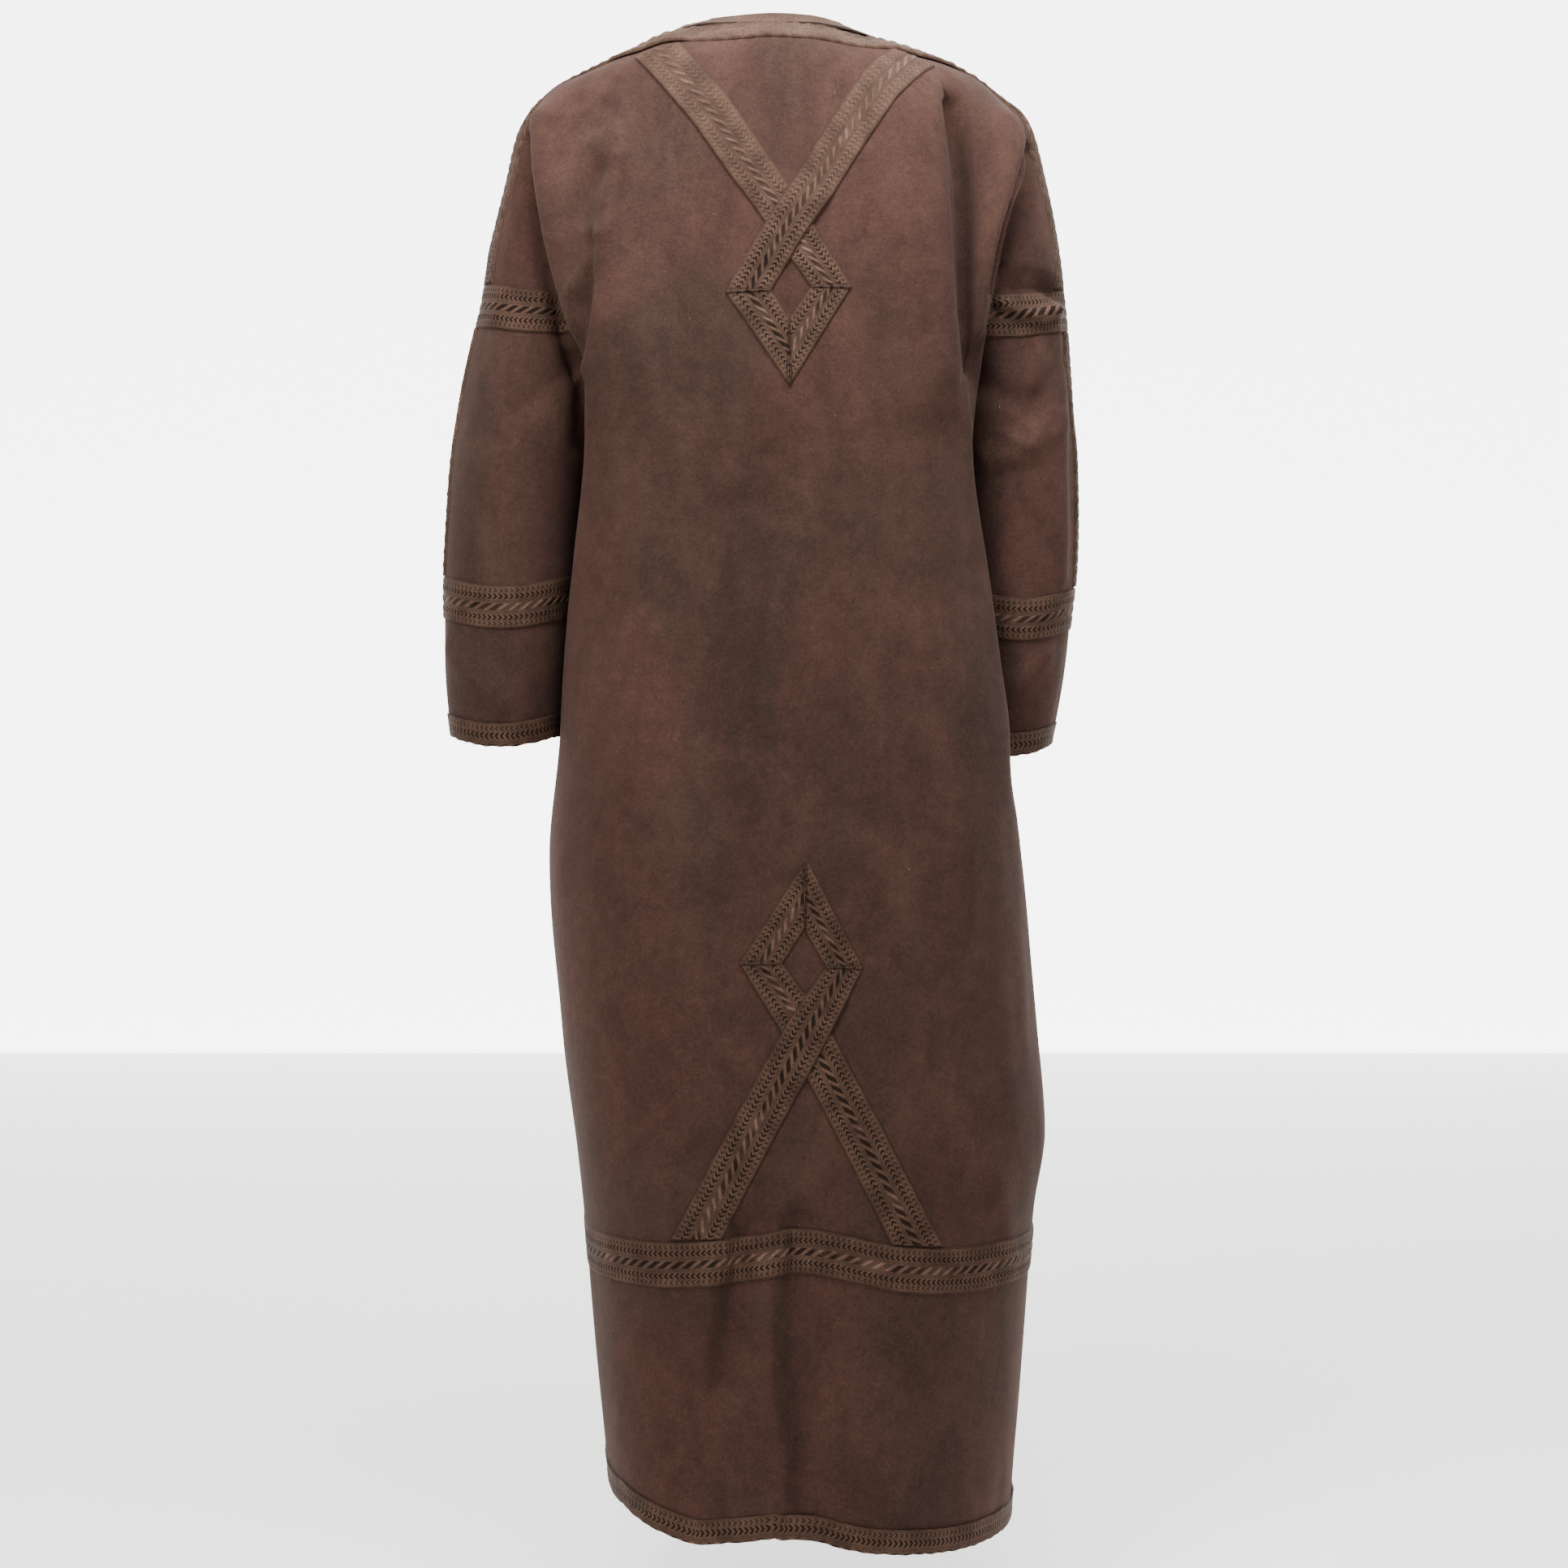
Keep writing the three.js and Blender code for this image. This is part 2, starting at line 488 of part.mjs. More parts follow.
function makePanel(sheetName) {
  const sheet = newSheet();
  const face = sheetName === "back" ? -1 : 1;
  const place = (side, z, column, seam) => {
    const p = crumple(panelPoint(sheetName, side, z, column));
    if (seam) p[1] += (face * SEAM_GAP) / 2;
    sheet.points.push(vector(p));
    if (seam) sheet.seams.add(sheet.points.length - 1);
    return sheet.points.length - 1;
  };
  const ids = { upper: [], torso: [], left: [], right: [] };
  const sides = ["left", "right"];
  UPPER_ROWS.forEach((z) => {
    const row = new Map();
    for (let column = 0; column <= ALL_COLUMNS; column += 1) {
      for (const side of sides) {
        if (column === 0 && side === "right") continue;
        const key = side === "left" ? -column : column;
        const seam = column === ALL_COLUMNS || (z === ARMPIT && column === TORSO_COLUMNS);
        row.set(key, place(side, z, column, seam));
      }
    }
    ids.upper.push(row);
  });
  ids.torso.push(ids.upper[ids.upper.length - 1]);
  LOWER_ROWS.forEach((z) => {
    const row = new Map();
    for (let column = 0; column <= TORSO_COLUMNS; column += 1) {
      for (const side of sides) {
        if (column === 0 && side === "right") continue;
        const key = side === "left" ? -column : column;
        row.set(key, place(side, z, column, column === TORSO_COLUMNS));
        if (z === HEM) sheet.flat.add(row.get(key));
      }
    }
    ids.torso.push(row);
  });
  for (const side of sides) {
    const sign = side === "left" ? -1 : 1;
    ids[side].push(ids.upper[ids.upper.length - 1]);
    for (const z of [ARM_BAND[side] + BRAID_WIDTH / 2, armEnd(side)]) {
      const row = new Map();
      for (let column = TORSO_COLUMNS; column <= ALL_COLUMNS; column += 1) {
        const seam = column === TORSO_COLUMNS || column === ALL_COLUMNS;
        const at = column === TORSO_COLUMNS ? column + 1e-9 : column;
        row.set(sign * column, place(side, z, at, seam));
        if (z === armEnd(side)) sheet.flat.add(row.get(sign * column));
      }
      ids[side].push(row);
    }
  }
  const fill = (rows, from, to) => {
    for (let r = 0; r + 1 < rows.length; r += 1) {
      for (let key = from; key < to; key += 1) {
        const quad = [rows[r].get(key), rows[r + 1].get(key), rows[r + 1].get(key + 1), rows[r].get(key + 1)];
        if (face < 0) addQuad(sheet, ...quad);
        else addQuad(sheet, ...quad.reverse());
      }
    }
  };
  fill(ids.upper, -ALL_COLUMNS, ALL_COLUMNS);
  fill(ids.torso, -TORSO_COLUMNS, TORSO_COLUMNS);
  fill(ids.left, -ALL_COLUMNS, -TORSO_COLUMNS);
  fill(ids.right, TORSO_COLUMNS, ALL_COLUMNS);
  return { sheet, ids };
}

const back = makePanel("back");
const front = makePanel("front");
addPart("back_panel", wallFrom(back.sheet, WALL), CLOTH_COLOUR);
addPart("front_panel", wallFrom(front.sheet, WALL), CLOTH_COLOUR);

// ---------------------------------------------------------------- rings round the arms
function armLevel(side, z) {
  const sign = side === "left" ? -1 : 1;
  const ring = armRing(side, z);
  const points = [];
  for (let column = 0; column < 2 * ARM_COLUMNS; column += 1) {
    const [x, y] = armPoint(side, z, (column * 180) / ARM_COLUMNS);
    points.push(new THREE.Vector3(sign * x, y, z - armDrop(ring, y)));
  }
  return side === "left" ? points.reverse() : points;
}

// A sheet from closed rings listed from the top down, facing out
function ringSheet(rings) {
  const sheet = newSheet();
  const around = rings[0].length;
  for (const ring of rings) sheet.points.push(...ring);
  for (let r = 0; r + 1 < rings.length; r += 1) {
    for (let i = 0; i < around; i += 1) {
      const j = (i + 1) % around;
      addQuad(sheet, r * around + i, (r + 1) * around + i, (r + 1) * around + j, r * around + j);
    }
  }
  return sheet;
}

function moved(points, normals, distance) {
  return points.map((p, i) => p.clone().addScaledVector(normals[i], distance));
}

// A flat braid lying round a ring sheet
function ringBraid(sheet, gap) {
  const normals = vertexNormals(sheet);
  return wallFrom({ ...sheet, points: moved(sheet.points, normals, gap + BRAID_THICK) }, BRAID_THICK);
}

// A braid folded over the lower or upper edge of a wall: ring is the edge, down the way into the cloth
function foldedBinding(edge, down, normals, side, gap) {
  const outs = [
    [gap + BRAID_THICK, side], [gap + BRAID_THICK, -gap - BRAID_THICK],
    [-WALL - gap - BRAID_THICK, -gap - BRAID_THICK], [-WALL - gap - BRAID_THICK, side],
    [-WALL - gap, side], [-WALL - gap, -gap], [gap, -gap], [gap, side],
  ];
  const points = [];
  edge.forEach((p, i) => {
    for (const [out, along] of outs) {
      points.push(p.clone().addScaledVector(normals[i], out).addScaledVector(down[i], along));
    }
  });
  return tube(points, edge.length);
}

// A closed ring of equal sections
function tube(points, sections) {
  const faces = [];
  const n = points.length / sections;
  for (let i = 0; i < sections; i += 1) {
    const j = (i + 1) % sections;
    for (let k = 0; k < n; k += 1) {
      const m = (k + 1) % n;
      faces.push([i * n + k, i * n + m, j * n + m], [i * n + k, j * n + m, j * n + k]);
    }
  }
  const solid = { points, faces };
  return volumeOf(solid) < 0 ? flipped(solid) : solid;
}

function volumeOf(solid) {
  let six = 0;
  for (const [a, b, c] of solid.faces) {
    six += solid.points[a].dot(solid.points[b].clone().cross(solid.points[c]));
  }
  return six / 6;
}

function flipped(solid) {
  return { points: solid.points, faces: solid.faces.map(([a, b, c]) => [a, c, b]) };
}

const SLEEVE_ROWS = {
  left: [-251, -270, -300, -335, -380, -435, -495, -533, -578, -618.5, -638],
  right: [-255, -274, -300, -335, -380, -440, -504, -542, -585, -625.5, -645],
};

for (const side of ["left", "right"]) {
  const rows = [...SLEEVE_ROWS[side]];
  rows[0] = ARM_BAND[side] - SEAM_GAP / 2;
  const rings = rows.map((z) => armLevel(side, z));
  const sleeve = ringSheet(rings);
  const around = rings[0].length;
  for (let i = 0; i < around; i += 1) {
    sleeve.flat.add(i);
    sleeve.flat.add((rings.length - 1) * around + i);
  }
  addPart(`sleeve_${side}`, wallFrom(sleeve, WALL), CLOTH_COLOUR);
  const middle = ARM_BAND[side];
  const upper = [middle + BRAID_WIDTH / 2, middle, middle - BRAID_WIDTH / 2];
  addPart(`upper_arm_band_${side}`, ringBraid(ringSheet(upper.map((z) => armLevel(side, z))), 0.35), BRAID_COLOUR);
  const lower = [FOREARM_BAND[side] + BRAID_WIDTH / 2, FOREARM_BAND[side] - BRAID_WIDTH / 2];
  addPart(`forearm_band_${side}`, ringBraid(ringSheet(lower.map((z) => armLevel(side, z))), 0.35), BRAID_COLOUR);
  const normals = vertexNormals(sleeve).slice((rings.length - 1) * around);
  const edge = rings[rings.length - 1];
  const inside = rings[rings.length - 2];
  const up = edge.map((p, i) => inside[i].clone().sub(p).normalize());
  addPart(`cuff_binding_${side}`, foldedBinding(edge, up, normals, BINDING_SIDE, 0.35), BRAID_COLOUR);
}

// ---------------------------------------------------------------- hem band, hem binding, neck binding
function bodyLoop(row) {
  const points = [];
  for (let key = -TORSO_COLUMNS; key <= TORSO_COLUMNS; key += 1) {
    const p = back.sheet.points[back.ids.torso[row].get(key)].clone();
    if (Math.abs(key) === TORSO_COLUMNS) p.y += SEAM_GAP / 2;
    points.push(p);
  }
  for (let key = TORSO_COLUMNS - 1; key > -TORSO_COLUMNS; key -= 1) {
    points.push(front.sheet.points[front.ids.torso[row].get(key)].clone());
  }
  return points;
}

const bandRow = 1 + LOWER_ROWS.indexOf(HEM_BAND_TOP);
addPart("hem_band", ringBraid(ringSheet([bodyLoop(bandRow), bodyLoop(bandRow + 1)]), 0.35), BRAID_COLOUR);

const hemRow = LOWER_ROWS.length;
const hemSheet = ringSheet([bodyLoop(hemRow - 1), bodyLoop(hemRow)]);
bodyLoop(hemRow).forEach((p, i) => hemSheet.flat.add(bodyLoop(hemRow).length + i));
const hemEdge = bodyLoop(hemRow);
const hemNormals = vertexNormals(hemSheet).slice(hemEdge.length);
const hemUp = bodyLoop(hemRow - 1).map((p, i) => p.sub(hemEdge[i]).normalize());
addPart("hem_binding", foldedBinding(hemEdge, hemUp, hemNormals, BINDING_SIDE, 0.35), BRAID_COLOUR);

// ---------------------------------------------------------------- flat braids on the panels
// The outside of the cloth as triangles with smooth normals, to lay braids on
function surfaceOf(sheets) {
  const triangles = [];
  for (const sheet of sheets) {
    const normals = vertexNormals(sheet);
    for (const [a, b, c] of sheet.faces) {
      triangles.push({
        shape: new THREE.Triangle(sheet.points[a], sheet.points[b], sheet.points[c]),
        normals: [normals[a], normals[b], normals[c]],
      });
    }
  }
  return triangles;
}

function nearestOn(triangles, point) {
  let best = null;
  const found = new THREE.Vector3();
  for (const triangle of triangles) {
    triangle.shape.closestPointToPoint(point, found);
    const distance = found.distanceToSquared(point);
    if (!best || distance < best.distance) best = { distance, triangle, at: found.clone() };
  }
  const weights = new THREE.Vector3();
  best.triangle.shape.getBarycoord(best.at, weights);
  const normal = new THREE.Vector3();
  best.triangle.normals.forEach((n, i) => normal.addScaledVector(n, weights.getComponent(i)));
  return { at: best.at, normal: normal.normalize() };
}

const bodySurface = surfaceOf([back.sheet, front.sheet]);

// The keys of the neck's columns that the binding uses: the arms' crowd together at the corners
const NECK_KEYS = [];
for (let key = -ALL_COLUMNS; key <= ALL_COLUMNS; key += 1) {
  const column = Math.abs(key);
  if (column <= TORSO_COLUMNS || (column - TORSO_COLUMNS) % 4 === 0) NECK_KEYS.push(key);
}

function neckLoop(row) {
  const points = [];
  for (const key of NECK_KEYS) {
    const p = back.sheet.points[back.ids.upper[row].get(key)].clone();
    if (Math.abs(key) === ALL_COLUMNS) p.y += SEAM_GAP / 2;
    points.push(p);
  }
  for (const key of [...NECK_KEYS].reverse().slice(1, -1)) {
    points.push(front.sheet.points[front.ids.upper[row].get(key)].clone());
  }
  return points;
}

// The braid folded over the neck edge follows the cloth on both sides
function neckBinding() {
  const gap = 0.6;
  const edge = neckLoop(0);
  const next = neckLoop(1);
  const normals = vertexNormals(ringSheet([edge, next])).slice(0, edge.length);
  const points = [];
  edge.forEach((p, i) => {
    const before = edge[(i + edge.length - 1) % edge.length];
    const after = edge[(i + 1) % edge.length];
    const along = after.clone().sub(before).normalize();
    const way = next[i].clone().sub(p);
    way.addScaledVector(along, -way.dot(along)).normalize();
    const hits = [9.5, BINDING_SIDE].map((far) => nearestOn(bodySurface, p.clone().addScaledVector(way, far)));
    const lying = (hit, out) => points.push(hit.at.clone().addScaledVector(hit.normal, out));
    const over = (out, far) => points.push(p.clone().addScaledVector(normals[i], out).addScaledVector(way, far));
    [1, 0].forEach((k) => lying(hits[k], gap + BRAID_THICK));
    over(gap + BRAID_THICK, -gap - BRAID_THICK);
    over(-WALL - gap - BRAID_THICK, -gap - BRAID_THICK);
    [0, 1].forEach((k) => lying(hits[k], -WALL - gap - BRAID_THICK));
    [1, 0].forEach((k) => lying(hits[k], -WALL - gap));
    over(-WALL - gap, -gap);
    over(gap, -gap);
    [0, 1].forEach((k) => lying(hits[k], gap));
  });
  return tube(points, edge.length);
}

// Takes the panels, grown by the seam gap, out of a braid that lies on them
const cutters = [back.sheet, front.sheet].map((sheet) => {
  const grown = { ...sheet, points: moved(sheet.points, vertexNormals(sheet), SEAM_GAP) };
  return solidOf(wallFrom(grown, WALL + 2 * SEAM_GAP));
});

function solidOf(solid) {
  const mesh = new Mesh({
    numProp: 3,
    vertProperties: new Float32Array(solid.points.flatMap((p) => [p.x, p.y, p.z])),
    triVerts: new Uint32Array(solid.faces.flat()),
  });
  return Manifold.ofMesh(mesh);
}

function clearOfPanels(solid) {
  let rest = solidOf(solid);
  for (const cutter of cutters) rest = rest.subtract(cutter);
  const pieces = rest.decompose().sort((a, b) => b.volume() - a.volume());
  const mesh = pieces[0].getMesh();
  const points = [];
  for (let i = 0; i < mesh.numVert; i += 1) {
    const at = i * mesh.numProp;
    points.push(new THREE.Vector3(...mesh.vertProperties.slice(at, at + 3)));
  }
  const faces = [];
  for (let i = 0; i < mesh.numTri; i += 1) faces.push([...mesh.triVerts.slice(3 * i, 3 * i + 3)]);
  return { points, faces };
}

addPart("neck_binding", clearOfPanels(neckBinding()), BRAID_COLOUR);

// The point of the back seen at (x, z)
function onBack(x, z) {
  const side = x < 0 ? "left" : "right";
  const depth = backDepth(side, Math.abs(x), Math.min(0, z)).depth;
  let guess = new THREE.Vector3(x, -depth, z);
  let hit = nearestOn(bodySurface, guess);
  for (let i = 0; i < 4; i += 1) {
    guess = guess.clone();
    guess.y = hit.at.y - ((x - hit.at.x) * hit.normal.x + (z - hit.at.z) * hit.normal.z) / hit.normal.y;
    hit = nearestOn(bodySurface, guess);
  }
  return hit;
}

// A strip from pairs of edge points, each with its height above the cloth
function strip(lines, cells) {
  const outer = [];
  const inner = [];
  for (const { edge, lift } of lines) {
    for (let k = 0; k <= cells; k += 1) {
      const hit = edge(k / cells);
      outer.push(hit.at.clone().addScaledVector(hit.normal, lift + BRAID_THICK));
      inner.push(hit.at.clone().addScaledVector(hit.normal, lift));
    }
  }
  const n = cells + 1;
  const count = outer.length;
  const faces = [];
  const boundary = [];
  for (let i = 0; i + 1 < lines.length; i += 1) {
    for (let k = 0; k < cells; k += 1) {
      const [a, b, c, d] = [i * n + k, (i + 1) * n + k, (i + 1) * n + k + 1, i * n + k + 1];
      faces.push([a, b, c], [a, c, d]);
    }
  }
  const edges = new Map();
  for (const face of faces) {
    for (let i = 0; i < 3; i += 1) {
      const [a, b] = [face[i], face[(i + 1) % 3]];
      if (edges.has(`${b},${a}`)) edges.delete(`${b},${a}`);
      else edges.set(`${a},${b}`, [a, b]);
    }
  }
  for (const [a, b] of edges.values()) boundary.push([b, a, a + count], [b, a + count, b + count]);
  const under = faces.map(([a, b, c]) => [a + count, c + count, b + count]);
  const solid = { points: [...outer, ...inner], faces: [...faces, ...under, ...boundary] };
  return volumeOf(solid) < 0 ? flipped(solid) : solid;
}

// Cross lines of a ribbon along a path, mitred at each corner; cuts are the heights of its ends
function ribbonLines(path, width, cuts, step) {
  const half = width / 2;
  const way = (i) => {
    const dx = path[i + 1][0] - path[i][0];
    const dz = path[i + 1][1] - path[i][1];
    const length = Math.hypot(dx, dz);
    return [dx / length, dz / length];
  };
  const edges = path.map((p, i) => {
    if (i === 0 || i === path.length - 1) {
      const [dx, dz] = way(i === 0 ? 0 : i - 1);
      const cut = i === 0 ? cuts[0] : cuts[1];
      const normal = [-dz, dx];
      if (!cut) return [-1, 1].map((s) => [p[0] + s * half * normal[0], p[1] + s * half * normal[1]]);
      return [-1, 1].map((s) => {
        const start = [p[0] + s * half * normal[0], p[1] + s * half * normal[1]];
        const along = cut.along;
        const det = dx * along[1] - dz * along[0];
        const t = ((cut.at[0] - start[0]) * along[1] - (cut.at[1] - start[1]) * along[0]) / det;
        return [start[0] + t * dx, start[1] + t * dz];
      });
    }
    const [ax, az] = way(i - 1);
    const [bx, bz] = way(i);
    const normal = [-(az + bz), ax + bx];
    const length = Math.hypot(...normal);
    const unit = [normal[0] / length, normal[1] / length];
    const reach = half / (unit[0] * -az + unit[1] * ax);
    return [-1, 1].map((s) => [p[0] + s * reach * unit[0], p[1] + s * reach * unit[1]]);
  });
  const lines = [];
  for (let i = 0; i + 1 < path.length; i += 1) {
    const length = Math.hypot(path[i + 1][0] - path[i][0], path[i + 1][1] - path[i][1]);
    const pieces = Math.max(1, Math.round(length / step));
    for (let j = i === 0 ? 0 : 1; j <= pieces; j += 1) {
      const t = j / pieces;
      const mix = (s) => [0, 1].map((axis) => edges[i][s][axis] * (1 - t) + edges[i + 1][s][axis] * t);
      lines.push([mix(0), mix(1)]);
    }
  }
  return lines;
}

// Where the over strand climbs across the under strand
function liftNear(line, crossing) {
  const x = (line[0][0] + line[1][0]) / 2;
  const z = (line[0][1] + line[1][1]) / 2;
  const distance = Math.hypot(x - crossing[0], z - crossing[1]);
  const t = Math.min(1, Math.max(0, (56 - distance) / 18));
  return (BRAID_THICK + 0.6) * t * t * (3 - 2 * t);
}

function addMotif(name, path, cuts, crossing) {
  const lines = ribbonLines(path, BRAID_WIDTH - 1, cuts, 11).map((line) => ({
    lift: LIE_GAP + (crossing ? liftNear(line, crossing) : 0),
    edge: (t) => onBack(line[0][0] * (1 - t) + line[1][0] * t, line[0][1] * (1 - t) + line[1][1] * t),
  }));
  addPart(name, clearOfPanels(strip(lines, 3)), BRAID_COLOUR);
}

const UPPER_CROSSING = [12.2, -197];
const UPPER_APEX = [12.9, -313];
const LOWER_CROSSING = [27.4, -896];
const LOWER_APEX = [26, -778];
// A mitred end leaves half the seam gap to the other strand's end
const seam = (apex, shift) => ({ at: [apex[0] + shift, apex[1]], along: [0, 1] });

addMotif("upper_motif_under",
  [[-99, -47], [-57.6, -96.7], [-25, -143.6], [2.4, -181.7], UPPER_CROSSING, [48.8, -257], UPPER_APEX],
  [{ at: [-99, -48], along: [0.95, 0.31] }, seam(UPPER_APEX, 0.3)], null);
addMotif("upper_motif_over",
  [UPPER_APEX, [-22.6, -260.6], UPPER_CROSSING, [34.7, -165], [60, -123.4], [90.6, -77.5], [118, -49]],
  [seam(UPPER_APEX, -0.3), { at: [118, -52], along: [0.93, -0.37] }], UPPER_CROSSING);
addMotif("lower_motif_under",
  [[119.7, -1074], [77, -989.5], LOWER_CROSSING, [-12.2, -837.6], LOWER_APEX],
  [{ at: [120, -1077.5], along: [1, -0.08] }, seam(LOWER_APEX, -0.3)], null);
addMotif("lower_motif_over",
  [LOWER_APEX, [59.4, -840.4], LOWER_CROSSING, [-13.4, -970.3], [-68.6, -1074]],
  [seam(LOWER_APEX, 0.3), { at: [-68, -1073], along: [1, 0.03] }], LOWER_CROSSING);

// Braid over both shoulders and across below the back neck, then down the outer arms
function braidAlong(path, step) {
  const curve = new THREE.CatmullRomCurve3(path.map(vector), false, "centripetal");
  const pieces = Math.round(curve.getLength() / step);
  const lines = [];
  for (let i = 0; i <= pieces; i += 1) {
    const hit = nearestOn(bodyAndSleeves, curve.getPointAt(i / pieces));
    const along = curve.getTangentAt(i / pieces);
    const across = hit.normal.clone().cross(along).normalize();
    lines.push({
      lift: LIE_GAP + 0.3,
      edge: (t) => {
        let place = hit.at.clone();
        const target = (t - 0.5) * BRAID_WIDTH;
        const steps = 6;
        let way = across.clone();
        for (let k = 0; k < steps; k += 1) {
          const next = nearestOn(bodyAndSleeves, place.clone().addScaledVector(way, target / steps));
          way = next.normal.clone().cross(along).normalize();
          place = next.at;
        }
        return nearestOn(bodyAndSleeves, place);
      },
    });
  }
  return lines;
}

const sleeveSurface = (side) => ringSheet(SLEEVE_ROWS[side].map((z) => armLevel(side, z)));
const bodyAndSleeves = surfaceOf([back.sheet, front.sheet, sleeveSurface("left"), sleeveSurface("right")]);

const shoulderPath = [
  [-261, -16, ARM_BAND.left + BRAID_WIDTH / 2 + 0.8], [-252, -16, -185], [-242, -14, -145],
  [-235, -9, -110], [-227, -4, -82], [-215, -3, -66], [-192, -12, -48], [-163, -30, -38],
  [-128, -55, -34], [-88, -79, -29], [-45, -92, -24], [0, -95, -23],
  [45, -92, -24], [88, -79, -29], [128, -55, -34], [163, -30, -38], [192, -12, -48], [215, -3, -66],
  [230, -1, -84], [238, -4, -110], [245, -7, -145], [253, -9, -185],
  [259, -9, ARM_BAND.right + BRAID_WIDTH / 2 + 0.8],
].map(crumple);
addPart("shoulder_braid", clearOfPanels(strip(braidAlong(shoulderPath, 14), 4)), BRAID_COLOUR);

for (const side of ["left", "right"]) {
  const sign = side === "left" ? -1 : 1;
  const from = ARM_BAND[side] - BRAID_WIDTH / 2 - (side === "left" ? 0.8 : 2);
  const to = FOREARM_BAND[side] + BRAID_WIDTH / 2 + 0.8;
  const path = [];
  for (let i = 0; i <= 10; i += 1) {
    const z = from + ((to - from) * i) / 10;
    const [x, y] = armPoint(side, z, side === "left" ? 180 : 172);
    path.push([sign * x, y, z]);
  }
  addPart(`arm_braid_${side}`, strip(braidAlong(path, 16), side === "left" ? 2 : 4), BRAID_COLOUR);
}

export default group;
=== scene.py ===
"""Winter thobe seen from the back: fine cloth, braid and bindings over the CAD frame.

Metres, +Z up, the decorated back faces -Y. Sizes in the tables are millimetres.
"""

import math

import bpy
import numpy as np
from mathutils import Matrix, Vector
from mathutils.bvhtree import BVHTree


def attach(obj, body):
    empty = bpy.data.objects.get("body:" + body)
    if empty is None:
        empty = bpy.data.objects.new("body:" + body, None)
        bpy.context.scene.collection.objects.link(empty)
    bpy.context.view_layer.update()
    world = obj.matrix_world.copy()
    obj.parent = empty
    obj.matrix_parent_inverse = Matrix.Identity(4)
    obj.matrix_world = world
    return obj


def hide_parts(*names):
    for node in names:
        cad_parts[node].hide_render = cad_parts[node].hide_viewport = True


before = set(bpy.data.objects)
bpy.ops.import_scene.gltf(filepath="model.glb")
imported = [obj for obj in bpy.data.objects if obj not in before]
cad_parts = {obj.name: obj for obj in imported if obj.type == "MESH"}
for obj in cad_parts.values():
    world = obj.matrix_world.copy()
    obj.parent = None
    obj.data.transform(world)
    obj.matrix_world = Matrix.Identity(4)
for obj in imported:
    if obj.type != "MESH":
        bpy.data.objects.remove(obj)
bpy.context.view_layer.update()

MM = 0.001
WALL = 2.0
BRAID_WIDTH = 38.0
BINDING_SIDE = 19.0
ARMPIT = -225.0
HEM = -1325.0
HEM_BAND_TOP = -1077.0
ARM_BAND = {"left": -251.0, "right": -255.0}
FOREARM_BAND = {"left": -514.0, "right": -523.0}
CUFF = {"left": -638.0, "right": -645.0}
ARM_TILT = 0.2
MM_PER_DEGREE = 1.1  # round a sleeve
SAG_TOP = -600.0
PRESS_TOP = -340.0
SIDES = ("left", "right")
SIGN = {"left": -1.0, "right": 1.0}
OTHER = {"left": "right", "right": "left"}

# Columns in each stretch of a half panel: centre, middle, crest, valley, lump, drape, under, side
STRETCHES = [2, 2, 2, 1, 2, 2, 2]
TORSO_COLUMNS = 13
ARM_COLUMNS = 8

